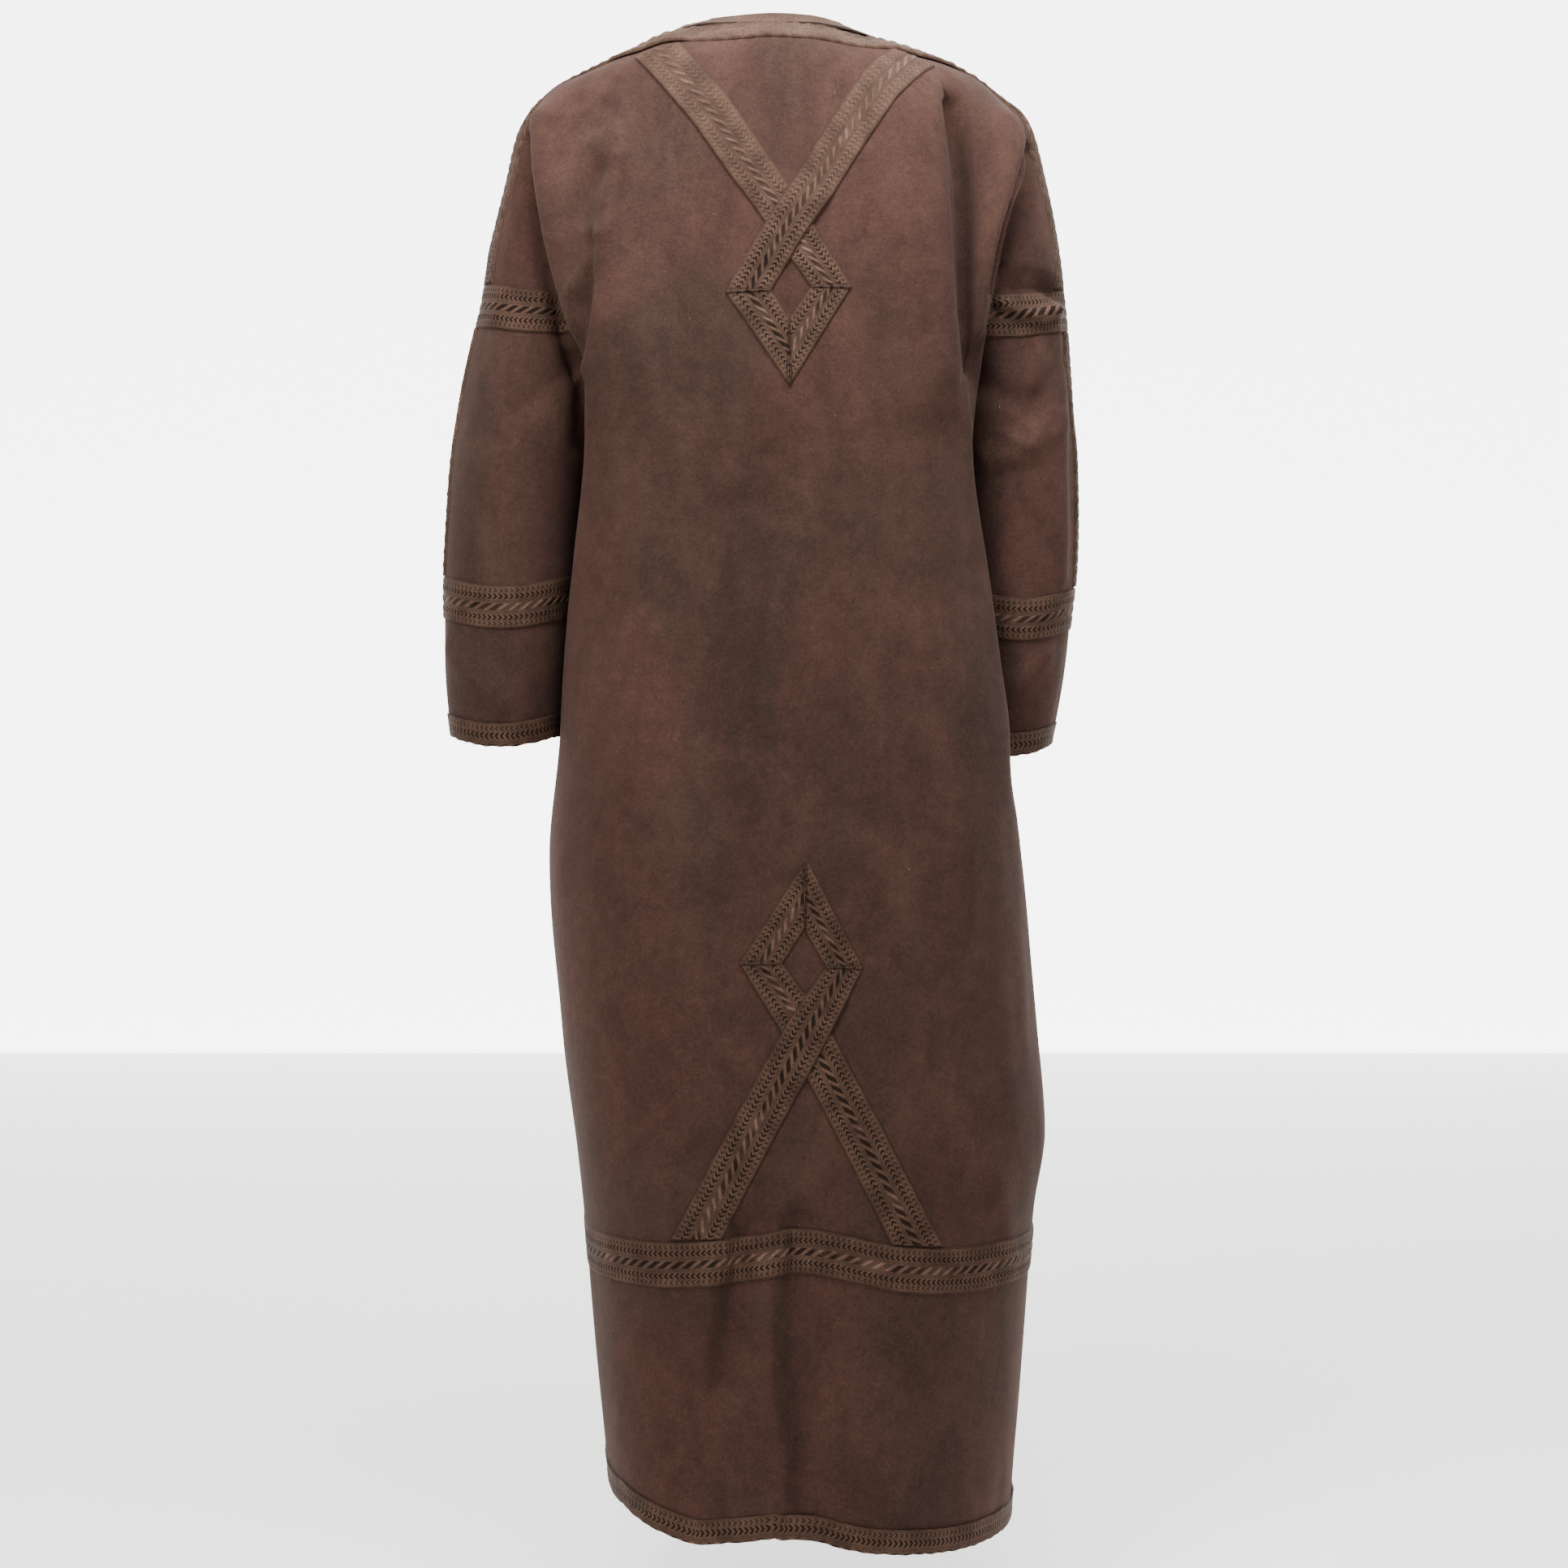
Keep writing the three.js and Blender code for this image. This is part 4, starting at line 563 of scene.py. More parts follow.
def make_panel(sheet):
    """Points and faces of a T-shaped panel, facing out."""
    torso_parts, arm_parts, upper_step, lower_step = GRID[sheet]
    torso_fine = np.linspace(0, TORSO_COLUMNS, TORSO_COLUMNS * torso_parts + 1)
    arm_fine = np.linspace(TORSO_COLUMNS, TORSO_COLUMNS + ARM_COLUMNS, ARM_COLUMNS * arm_parts + 1)
    # Under the armpit the torso's last column belongs to the arm as well
    stub_fine = np.concatenate([[TORSO_COLUMNS + 1e-9], arm_fine[1:]])
    upper_columns = np.concatenate([torso_fine, arm_fine[1:]])
    half = len(upper_columns)
    torso = len(torso_fine)
    flip = sheet == "front"

    def both(z, columns):
        left = panel_row(sheet, "left", z, columns)[::-1]
        right = panel_row(sheet, "right", z, columns)
        return np.vstack([left, right[1:]])

    upper = np.array([crumpled(both(z, upper_columns)) for z in fine(0, ARMPIT, upper_step)])
    rows, width = upper.shape[:2]
    armpit_row = (rows - 1) * width
    points = [upper.reshape(-1, 3)]
    faces = [grid_faces(rows, width, flip=flip)]

    def hang_below(top, grid):
        """Add a grid of points under a row of points that is already there."""
        count = sum(map(len, points))
        points.append(grid.reshape(-1, 3))
        ids = count + np.arange(grid.shape[0] * grid.shape[1]).reshape(grid.shape[:2])
        faces.append(faces_of_ids(np.vstack([top, ids]), flip))

    lower = np.array([both(z, torso_fine) for z in fine(ARMPIT, HEM, lower_step)[1:]])
    hang_below(armpit_row + half - torso + np.arange(lower.shape[1]), lower)
    for side in SIDES:
        levels = fine(ARMPIT, ARM_BAND[side], upper_step)[1:]
        stub = np.array([panel_row(sheet, side, z, stub_fine) for z in levels])
        start = 0 if side == "left" else half + torso - 2
        hang_below(armpit_row + start + np.arange(len(arm_fine)),
                   stub[:, ::-1] if side == "left" else stub)
    return np.vstack(points), np.vstack(faces)


def waves(seed, count, longest, shortest):
    """Random smooth waves, over the way round and over z, that make slack cloth uneven."""
    rng = np.random.default_rng(seed)
    out = []
    for _ in range(count):
        length = math.exp(rng.uniform(math.log(shortest), math.log(longest)))
        angle = rng.normal(0, 0.55)
        k = 2 * math.pi / length
        out.append((k * math.cos(angle), k * math.sin(angle) * 0.5, rng.uniform(0, 2 * math.pi),
                    0.22 * (length / longest) ** 0.7))
    return out


WAVES = waves(seed=7, count=26, longest=190, shortest=34)


def slack(points):
    """Small uneven height of the cloth at each point, in millimetres."""
    around = points[:, 0] + 0.7 * points[:, 1]
    total = np.zeros(len(points))
    for kx, kz, phase, height in WAVES:
        total += height * np.sin(kx * around + kz * points[:, 2] + phase)
    return total


def normals_of(points, faces):
    """Smooth vertex normals of a mesh in millimetres."""
    quads = points[faces]
    cross = np.cross(quads[:, 2] - quads[:, 0], quads[:, 3] - quads[:, 1])
    out = np.zeros_like(points)
    for corner in range(4):
        np.add.at(out, faces[:, corner], cross)
    length = np.linalg.norm(out, axis=1)[:, None]
    return out / np.where(length == 0, 1, length)


SEAM_REACH = 12  # the side seams hold the slack this far to each side


def crease_height(points, normals):
    """Height of the sharp creases, only where the cloth faces back."""
    total = np.zeros(len(points))
    for path, tall, left, right in CREASES:
        total += tall * beside(points[:, 0], points[:, 2], path, left, right)
    return total * np.clip(-normals[:, 1] * 2.2 - 0.1, 0, 1)


def crease_shade_and_nap(points):
    """Painted shade along the creases and folds of the back, partly darker nap, from 0 to 1."""
    total = np.zeros(len(points))
    for path, share, left, right in SHADE_AND_NAP_MARKS:
        total = np.maximum(total, share * beside(points[:, 0], points[:, 2], path, left, right))
    return np.where(points[:, 1] < 0, total, 0)


def worn(points, normals):
    """Cloth points with slack and creases; seams in the plane y = 0 stay where they are."""
    free = np.clip(np.abs(points[:, 1]) / SEAM_REACH, 0, 1)
    lift = slack(points) * free + crease_height(points, normals)
    return points + normals * lift[:, None]


panels = {}
for sheet_name in ("back", "front"):
    sheet_points, sheet_faces = make_panel(sheet_name)
    panels[sheet_name] = (worn(sheet_points, normals_of(sheet_points, sheet_faces)), sheet_faces)


def sleeve_grid(side, heights, around):
    """Rings round an arm, listed from the top down."""
    degrees = np.arange(around) * 360.0 / around
    rings = []
    for z in heights:
        x, y, forward, depth = arm_points(side, z, degrees)
        rings.append(np.stack([SIGN[side] * x, forward + y, z - arm_drop(y, depth)], axis=1))
    return np.array(rings)


SLEEVE_AROUND = 120  # cells round a sleeve
SLEEVE_STEP = 4.0  # between its rings
sleeves = {}
for one_side in SIDES:
    grid = sleeve_grid(one_side, fine(ARM_BAND[one_side], CUFF[one_side], SLEEVE_STEP), SLEEVE_AROUND)
    quads = grid_faces(*grid.shape[:2], wrap_columns=True, flip=one_side == "left")
    flat_points = grid.reshape(-1, 3)
    sleeves[one_side] = (worn(flat_points, normals_of(flat_points, quads)), quads)


# ---------------------------------------------------------------- materials
class Look:
    """A material with short names for its nodes; a value is a number, a colour or an output."""

    def __init__(self, name):
        self.material = bpy.data.materials.new(name)
        self.material.use_nodes = True
        self.tree = self.material.node_tree
        self.shader = self.tree.nodes["Principled BSDF"]

    def node(self, kind, **inputs):
        node = self.tree.nodes.new("ShaderNode" + kind)
        for name, value in inputs.items():
            self.put(node.inputs[name], value)
        return node

    def put(self, socket, value):
        if isinstance(value, bpy.types.NodeSocket):
            self.tree.links.new(value, socket)
        elif socket.type == "RGBA":
            socket.default_value = (*value, 1)
        else:
            socket.default_value = value

    def calc(self, kind, *values):
        """One math node."""
        node = self.node("Math")
        node.operation = kind
        for socket, value in zip(node.inputs, values):
            self.put(socket, value)
        return node.outputs[0]

    def times(self, first, *others):
        for other in others:
            first = self.calc("MULTIPLY", first, other)
        return first

    def largest(self, first, *others):
        for other in others:
            first = self.calc("MAXIMUM", first, other)
        return first

    def scaled(self, value, factor, start):
        """The value times a factor, counted from a start."""
        return self.calc("MULTIPLY_ADD", value, factor, start)

    def ramp(self, value, low, high):
        """0 at low and 1 at high, smooth between; low may be above high."""
        node = self.node("MapRange", Value=value)
        node.interpolation_type = "SMOOTHSTEP"
        node.inputs["From Min"].default_value = min(low, high)
        node.inputs["From Max"].default_value = max(low, high)
        node.inputs["To Min"].default_value = 0.0 if low < high else 1.0
        node.inputs["To Max"].default_value = 1.0 if low < high else 0.0
        return node.outputs["Result"]

    def noise(self, vector, scale, detail=2.0, roughness=0.5, distortion=0.0):
        node = self.node("TexNoise", Vector=vector, Scale=scale, Detail=detail,
                         Roughness=roughness, Distortion=distortion)
        return node.outputs[0]

    def stretched(self, vector, sizes):
        node = self.node("VectorMath")
        node.operation = "MULTIPLY"
        self.put(node.inputs[0], vector)
        self.put(node.inputs[1], sizes)
        return node.outputs[0]

    def blend(self, share, first, second):
        """Mix two colours."""
        node = self.node("Mix")
        node.data_type = "RGBA"
        self.put(node.inputs[0], share)
        self.put(node.inputs[6], first)
        self.put(node.inputs[7], second)
        return node.outputs[2]

    def brightened(self, colour, factor):
        """A colour times a grey factor."""
        node = self.node("VectorMath")
        node.operation = "SCALE"
        self.put(node.inputs[0], colour)
        self.put(node.inputs["Scale"], factor)
        return node.outputs[0]

    def marked(self, name):
        """A value that the mesh carries at its points."""
        node = self.node("Attribute")
        node.attribute_name = name
        return node.outputs["Fac"]

    def place(self):
        return self.node("TexCoord").outputs["Object"]

    def bumped(self, height, strength, distance):
        node = self.node("Bump", Strength=strength, Distance=distance, Height=height)
        self.put(self.shader.inputs["Normal"], node.outputs[0])

    def finish(self, **inputs):
        """Set inputs of the shader; an underscore stands for a space in a name."""
        for name, value in inputs.items():
            self.put(self.shader.inputs[name.replace("_", " ")], value)
        return self.material


RED_NAP = (0.0445, 0.0206, 0.0155)
OLIVE_NAP = (0.0352, 0.0189, 0.0140)
LINT = (0.3, 0.24, 0.2)
# How much the painted shade along the creases, partly darker nap, darkens the suede
SHADE_AND_NAP_DARKENING = 0.3


def suede():
    """Napped cloth: two tones in soft blotches, fine grain, a little lint and painted shade along the
    creases.
    """
    look = Look("suede_cloth")
    place = look.place()
    patches = look.noise(look.stretched(place, (1.0, 1.0, 0.4)), 7.5, 4.0, 0.55, 0.5)
    nap_streaks_and_shade = look.noise(look.stretched(place, (1.0, 1.0, 0.6)), 17.0, 5.0, 0.6, 0.8)
    mottle = look.noise(place, 75.0, 5.0, 0.65)
    pits = look.noise(place, 330.0, 3.0, 0.65)
    grain = look.noise(place, 1100.0, 2.0, 0.6)
    tone = look.blend(look.ramp(patches, 0.38, 0.62), RED_NAP, OLIVE_NAP)
    light = look.times(look.scaled(look.ramp(nap_streaks_and_shade, 0.34, 0.68), 0.28, 0.86),
                       look.scaled(pits, 0.9, 0.55),
                       look.scaled(mottle, 0.7, 0.65),
                       look.scaled(grain, 1.1, 0.45),
                       # painted shade along the creases and folds, partly darker nap, carried by the mesh
                       look.scaled(look.marked("nap_streaks_and_shade"), -SHADE_AND_NAP_DARKENING, 1.0))
    cells = look.node("TexVoronoi", Vector=place, Scale=95.0)
    chosen = look.node("SeparateColor", Color=cells.outputs["Color"])
    speck = look.times(look.calc("LESS_THAN", cells.outputs["Distance"], 0.036),
                       look.calc("GREATER_THAN", chosen.outputs[0], 0.93), 0.7)
    look.bumped(look.scaled(pits, 1.0, look.times(grain, 0.6)), 0.6, 0.0009)
    return look.finish(Base_Color=look.blend(speck, look.brightened(tone, light), LINT), Roughness=0.95,
                       Specular_IOR_Level=0.08, Sheen_Weight=0.05, Sheen_Roughness=0.55,
                       Sheen_Tint=(0.75, 0.55, 0.45))


THREAD = (0.072, 0.0395, 0.0265)
# Painted sheen on the satin leaves of the braid
THREAD_SHEEN = (0.115, 0.064, 0.047)
# Dark ground in the gaps of the weave, deepened into painted shade in its recesses and at the mitre seams
GAP_DARK_AND_SHADE = (0.0075, 0.0038, 0.0026)
# The weave: pitch of the chevrons, pitch, slant and half width of the slashes down the middle, and
# the rows of chevrons on each side: middle, half width, slope, level of the wave over which a gap
# opens, and height
CHEVRON_PITCH = 4.7
LEAF_PITCH = 10.6
LEAF_SLANT = 1.35
CENTRE_HALF = 3.1
ROWS = ((9.4, 2.7, 0.55, -0.1, 0.45), (14.7, 1.7, 0.45, 0.1, 0.3))
# The plain ribs between them: from where, to where and their pitch
RIBS = ((3.35, 6.5, 1.05), (12.2, 13.0, 0.8), (16.5, 18.1, 0.8))
# The weave is closed on the shoulders and opens below: z in metres, and how open it is above
OPENS = (-0.11, -0.23)
CLOSED_SHARE = 0.35


def braid_look():
    """Woven braid from its own coordinates: across the braid and along it, in mm."""
    look = Look("woven_braid")
    uv = look.node("UVMap")
    uv.uv_map = "braid"
    weave = look.stretched(uv.outputs[0], (BRAID_WIDTH, BRAID_WIDTH, 0))
    across, along, _ = look.node("SeparateXYZ", Vector=weave).outputs
    v = look.calc("SUBTRACT", across, BRAID_WIDTH / 2)
    away = look.calc("ABSOLUTE", v)

    def band(low, high, soft):
        return look.times(look.ramp(away, low - soft, low + soft), look.ramp(away, high + soft, high - soft))

    def gaps(middle, half, slope, level, _):
        off = look.calc("ABSOLUTE", look.calc("SUBTRACT", away, middle))
        turn = look.scaled(off, slope / half, look.calc("DIVIDE", along, CHEVRON_PITCH))
        wave = look.calc("SINE", look.times(turn, 2 * math.pi))
        return look.times(look.ramp(wave, level, level + 0.4), look.ramp(off, half, half * 0.75))

    def ribs(low, high, pitch):
        wave = look.calc("COSINE", look.times(look.calc("SUBTRACT", away, low), 2 * math.pi / pitch))
        return look.times(band(low, high, 0.2), look.ramp(wave, -0.2, 0.9))

    height_above = look.node("SeparateXYZ", Vector=look.place()).outputs[2]
    opened = look.scaled(look.ramp(height_above, *OPENS), 1 - CLOSED_SHARE, CLOSED_SHARE)
    chevrons = look.times(gaps(*ROWS[0]), opened)
    narrow = look.times(gaps(*ROWS[1]), opened, 0.8)
    slant = look.calc("DIVIDE", look.scaled(v, -LEAF_SLANT, along), LEAF_PITCH)
    teeth = look.calc("SINE", look.times(v, 2 * math.pi / 1.1))
    slashes = look.scaled(teeth, 0.12, look.calc("SINE", look.times(slant, 2 * math.pi)))
    # painted sheen of the satin threads in patches, partly worn floats, lightening leaves and hollows
    sheen_and_wear = look.ramp(look.noise(weave, 0.026, 2.0, 0.5), 0.47, 0.62)
    centre = band(-5, CENTRE_HALF, 0.3)
    # painted shade in the hollows of the slashes, partly the dark ground of the weave
    hollow_shade = look.times(look.ramp(slashes, 0.3, 0.0), centre, look.scaled(sheen_and_wear, -0.7, 1.0), opened)
    leaf = look.times(look.ramp(slashes, 0.0, 0.6), centre)
    lines = look.calc("COSINE", look.times(away, 2 * math.pi / 1.35))
    twill = look.noise(look.stretched(weave, (1.0, 0.4, 0)), 1.3, 3.0, 0.6)
    # dark gaps and grooves of the weave, partly dark ground and partly painted recess shade
    dark = look.largest(chevrons, narrow, hollow_shade,
                        look.times(look.largest(*[ribs(*row) for row in RIBS]), 0.62),
                        look.times(band(18.2, 18.8, 0.2), 0.8),
                        # painted shade at the foot of the raised mitre seams
                        look.times(look.marked("mitre_shade"), 0.85))
    colour = look.blend(look.times(leaf, look.scaled(sheen_and_wear, 0.9, 0.1)), THREAD, THREAD_SHEEN)
    faded = look.ramp(look.noise(weave, 0.035, 3.0, 0.6), 0.3, 0.7)
    light = look.times(look.scaled(faded, 0.5, 0.65), look.scaled(twill, 1.8, 0.1),
                       look.scaled(lines, 0.14, 1.0))
    colour = look.blend(look.times(dark, 0.93), look.brightened(colour, light), GAP_DARK_AND_SHADE)
    height = look.scaled(leaf, 0.7, look.scaled(dark, -1.0, look.times(twill, 0.5)))
    look.bumped(look.scaled(lines, 0.08, height), 0.7, 0.0005)
    return look.finish(Base_Color=colour, Roughness=0.7, Specular_IOR_Level=0.06)


MATERIALS = {"suede_cloth": suede(), "woven_braid": braid_look()}


def cloth_piece(name, points, faces, node):
    piece = new_piece(name, points, faces, "suede_cloth", node)
    # painted shade along the creases and folds, partly darker nap, for the suede to read
    mark(piece, "nap_streaks_and_shade", crease_shade_and_nap(points))
    solid = piece.modifiers.new("wall", "SOLIDIFY")
    solid.thickness = WALL * MM
    solid.offset = -1
    return piece


for sheet_name in ("back", "front"):
    cloth_piece(f"{sheet_name}_cloth", *panels[sheet_name], f"{sheet_name}_panel")
for one_side in SIDES:
    cloth_piece(f"sleeve_cloth_{one_side}", *sleeves[one_side], f"sleeve_{one_side}")


# ---------------------------------------------------------------- laying braid on the cloth
WELL_BEHIND = -600
JUST_BEHIND = -60


class Surface:
    """Cloth to lay braid on: the meshes given as (points, faces) pairs."""

    def __init__(self, parts):
        counts = np.cumsum([0] + [len(points) for points, _ in parts])
        self.points = np.vstack([points for points, _ in parts])
        self.faces = np.vstack([faces + count for (_, faces), count in zip(parts, counts)])
        self.normals = normals_of(self.points, self.faces)
        self.tree = BVHTree.FromPolygons([Vector(p) for p in self.points],
                                         [list(map(int, f)) for f in self.faces])

    def smooth_normal(self, at, index):
        corners = self.faces[index]
        away = np.linalg.norm(self.points[corners] - at, axis=1) + 1e-3
        return unit((self.normals[corners] / away[:, None]).sum(axis=0))

    def nearest(self, point):
        """Nearest point of the cloth and its smooth normal."""
        at, _, index, _ = self.tree.find_nearest(Vector(point))
        return np.array(at), self.smooth_normal(np.array(at), index)

    def seen_from_back(self, x, z):
        """The point seen straight on from behind at (x, z) and its smooth normal."""
        at, _, index, _ = self.tree.ray_cast(Vector((x, WELL_BEHIND, z)), Vector((0, 1, 0)))
        if at is None:
            return self.nearest((x, JUST_BEHIND, z))
        return np.array(at), self.smooth_normal(np.array(at), index)


all_cloth = Surface([panels["back"], panels["front"], sleeves["left"], sleeves["right"]])
seen_cloth = Surface([panels["back"]])

BRAID_BASE = 0.5  # underside of a flat braid above the cloth
BRAID_BODY = 1.0  # its plain thickness


def wobble(along):
    """Uneven pace of the woven pattern along a braid, in mm."""
    return 0.7 * np.sin(along / 17.0) + 0.5 * np.sin(along / 6.1 + 1.0) + 0.4 * np.sin(along / 41.0 + 2.0)


def relief(across, along):
    """Height in mm of the woven pattern; across runs 0 to 1 and along is in mm."""
    v = across * BRAID_WIDTH - BRAID_WIDTH / 2
    away = np.abs(v)
    leaf = smooth_step(np.sin(2 * math.pi * (along - LEAF_SLANT * v) / LEAF_PITCH), 0.1, 0.8)
    total = 0.6 * leaf * np.clip((CENTRE_HALF - away) / 0.8, 0, 1)
    for middle, half, slope, level, tall in ROWS:
        off = np.abs(away - middle)
        wave = np.sin(2 * math.pi * (along / CHEVRON_PITCH + off * slope / half))
        total = total + tall * (off < half) * (1 - smooth_step(wave, level, level + 0.5))
    return total


def one_handed(points, normals, turned):
    """Whether the pattern runs from the last column, so that its slashes all lean one way."""
    r, c = points.shape[0] // 2, points.shape[1] // 2
    ahead = points[r + 1, c] - points[r - 1, c]
    over = points[r, c + 1] - points[r, c - 1]
    return (np.dot(np.cross(over, ahead), normals[r, c]) > 0) != turned


def lay_uv(piece, across, weave, end=None):
    """Braid coordinates: across (0 to 1) for each column, and weave in mm for each point.

    end is the place along the weave where a closed ring meets its first row again.
    """
    loops = np.zeros(len(piece.data.loops), dtype=np.int64)
    piece.data.loops.foreach_get("vertex_index", loops)
    rows = (loops // weave.shape[1]).reshape(-1, 4)
    columns = (loops % weave.shape[1]).reshape(-1, 4)
    along = weave[rows, columns]
    if end is not None:
        first = rows == 0
        wraps = first.any(axis=1) & (rows == len(weave) - 1).any(axis=1)
        along = np.where(wraps[:, None] & first, end, along)
    coords = np.stack([across[columns], along / BRAID_WIDTH], axis=-1)
    layer = piece.data.uv_layers.new(name="braid")
    layer.data.foreach_set("uv", coords.astype(np.float32).ravel())


def with_ends(grid, axis=0):
    """A grid with its first and last row, or column, once more."""
    return np.concatenate([grid.take([0], axis), grid, grid.take([-1], axis)], axis=axis)


WEAVE_STEP = {"mitred": 0.8, "plain": 1.25}
ACROSS = np.linspace(0, 1, 37)
FOLD_TALL = 1.1
FOLD_SIDE = 1.7  # from the ridge of a mitre fold to the shade at its foot
FOLD_SHADE = 0.8
EDGE_DROP = 0.5
EDGE_ROUND = 1.2
RUFFLE_WIDE = 8  # how far in from the edges they ruffle
TUCK = 0.3  # how far the edges reach into the nap


def braid_sheet(name, points, normals, along, node, lifts=None, closed=False, turned=False,
                run=None, seams=(), ruffle=0.0):
    """Relief braid over a coarse grid of cloth points: rows along, columns across.

    run gives the place along the weave at both edges of each row, where it isn't the length;
    seams are the lengths at which a mitred seam stands up, with painted shade at its foot; ruffle is
    how far the edges stand off.
    """
    from_last = one_handed(points, normals, turned)
    length = along[-1]
    count = max(4, int(length / WEAVE_STEP["mitred" if len(seams) else "plain"]))
    s = np.linspace(0, length, count, endpoint=not closed)
    w = ACROSS
    at_row = np.interp(s, along, np.arange(points.shape[0]))
    r = np.minimum(at_row.astype(int), points.shape[0] - 2)
    row_share = (at_row - r)[:, None, None]
    at_column = w * (points.shape[1] - 1)
    c = np.minimum(at_column.astype(int), points.shape[1] - 2)
    column_share = (at_column - c)[None, :, None]

    def spread(grid):
        low = mix(grid[r][:, c], grid[r][:, c + 1], column_share)
        high = mix(grid[r + 1][:, c], grid[r + 1][:, c + 1], column_share)
        return mix(low, high, row_share)

    base = spread(points)
    out = unit(spread(normals))
    weave = np.repeat(s[:, None], len(w), axis=1)
    if run is not None:
        edges = mix(run[r], run[r + 1], row_share[:, :, 0])
        weave = mix(edges[:, :1], edges[:, 1:], w)
    if turned:
        weave = length - weave
    if not closed:
        weave = weave + wobble(weave)
    lift = 0.0 if lifts is None else np.interp(s, along, lifts)[:, None]
    in_from_edge = np.minimum(w, 1 - w) * BRAID_WIDTH
    mitre_shade = np.zeros(count)
    heights = BRAID_BASE + BRAID_BODY + relief(1 - w if from_last else w, weave) + lift
    for place in seams:
        heights = heights + FOLD_TALL * np.exp(-((s - place) ** 2))[:, None]
        # painted shade at the foot of each raised mitre seam, for the braid's colour
        mitre_shade = np.maximum(mitre_shade, np.exp(-(((np.abs(s - place) - FOLD_SIDE) / FOLD_SHADE) ** 2)))
    waves_along = (1 + np.sin(s / 2.1 + 2 * np.sin(s / 37)))[:, None]
    heights = heights + ruffle * np.clip(1 - in_from_edge / RUFFLE_WIDE, 0, 1) * waves_along
    heights = heights - (1 - np.clip(in_from_edge / EDGE_ROUND, 0, 1)) * EDGE_DROP
    top = base + out * heights[:, :, None]
    low = base + out * (lift - TUCK + np.zeros((count, 1)))[:, :, None]
    grid = np.concatenate([low[:, :1], top, low[:, -1:]], axis=1)
    weave = with_ends(weave, axis=1)
    if not closed:
        ends = with_ends(low, axis=1)
        grid = np.concatenate([ends[:1], grid, ends[-1:]], axis=0)
        weave = with_ends(weave)
        mitre_shade = with_ends(mitre_shade)
    faces = grid_faces(*grid.shape[:2], wrap_rows=closed)
    flat = grid.reshape(-1, 3)
    faces = facing(faces, flat, len(faces) // 2, out[count // 2, len(w) // 2])
    piece = new_piece(name, flat, faces, "woven_braid", node)
    end = None
    if closed:
        end = 0.0 if turned else length
    lay_uv(piece, with_ends(1 - w if from_last else w), weave, end)
    # painted shade at the mitre seams, for the braid to read
    mark(piece, "mitre_shade", np.repeat(mitre_shade, grid.shape[1]))
    return piece


def lengths_along(points):
    """The length along the middle of a braid at each of its rows."""
    middle = points[:, points.shape[1] // 2]
    steps = np.linalg.norm(middle[1:] - middle[:-1], axis=1)
    return np.concatenate([[0], np.cumsum(steps)])


def ring_normals(points):
    """Normals out of a closed ring; points are (around, across, 3)."""
    around = np.roll(points, -1, axis=0) - np.roll(points, 1, axis=0)
    normal = np.cross(around, np.gradient(points, axis=1))
    outward = (normal * (points - points.mean(axis=(0, 1)))).sum() > 0
    return unit(normal if outward else -normal)


def ring_braid(name, rings, node, turned=False):
    """Braid round a ring: rings has the shape (across, around, 3)."""
    points = np.swapaxes(rings, 0, 1)
    before = ring_normals(points)
    points = worn(points.reshape(-1, 3), before.reshape(-1, 3)).reshape(points.shape)
    normals = ring_normals(points)
    points = np.vstack([points, points[:1]])
    normals = np.vstack([normals, normals[:1]])
    return braid_sheet(name, points, normals, lengths_along(points), node, closed=True, turned=turned)


for one_side in SIDES:
    for band, middle in (("upper_arm_band", ARM_BAND[one_side]), ("forearm_band", FOREARM_BAND[one_side])):
        heights = np.linspace(middle + BRAID_WIDTH / 2, middle - BRAID_WIDTH / 2, 13)
        ring = sleeve_grid(one_side, heights, 160)
        ring_braid(
            f"{band}_braid_{one_side}", ring, f"{band}_{one_side}", turned=band == "forearm_band")


def body_ring(z, columns=np.linspace(0, TORSO_COLUMNS, TORSO_COLUMNS * 6 + 1)):
    """One line of the cloth right round, from the left side by the back."""
    back_left, back_right = [panel_row("back", s, z, columns) for s in SIDES]
    front_left, front_right = [panel_row("front", s, z, columns) for s in SIDES]
    return np.vstack([back_left[::-1], back_right[1:], front_right[::-1][1:], front_left[1:-1]])


# Where the hem band is stitched above (+) or below (-) the level line of the cloth: x, rise
BAND_RISE = np.array([
    [-200, 10], [-175, 10], [-141, 7.5], [-106, 4], [-72, 2.4], [-37, 1.4], [-8, 2.4], [14, 6.5],
    [34, 8.4], [54, 7.2], [78, 3.4], [100, 0.2], [135, -1.8], [170, -1.8], [200, 0],
], float)


def band_rise(points):
    """The rise at points of the back, fading out round the front."""
    rise = np.interp(points[..., 0], BAND_RISE[:, 0], BAND_RISE[:, 1])
    return rise * (1 - smooth_step(points[..., 1], 0, 70))


hem_levels = np.linspace(HEM_BAND_TOP, HEM_BAND_TOP - BRAID_WIDTH, 9)
hem_band_rings = np.array([body_ring(z) for z in hem_levels])
hem_band_rings[:, :, 2] += band_rise(hem_band_rings)
ring_braid("hem_band_braid", hem_band_rings, "hem_band", turned=True)


def leftward(way):
    """The direction a quarter turn from a direction in the plane (x, z)."""
    return np.array([-way[1], way[0]])


def cut_end(p, half, way, at, along):
    """Both edges of a ribbon where it is cut off by the line through at in the direction along."""
    det = way[0] * along[1] - way[1] * along[0]
    pair = []
    for sign in (-1, 1):
        start = p + sign * half * leftward(way)
        t = ((at[0] - start[0]) * along[1] - (at[1] - start[1]) * along[0]) / det
        pair.append(start + t * way)
    return pair


def mitred(p, half, before, after):
    """Both edges of a ribbon at a corner between two directions."""
    normal = unit(leftward(before + after))
    reach = half / np.dot(normal, leftward(before))
    return [p - reach * normal, p + reach * normal]


SHARP = 0.9  # a corner is folded where the cosine of its turn is less


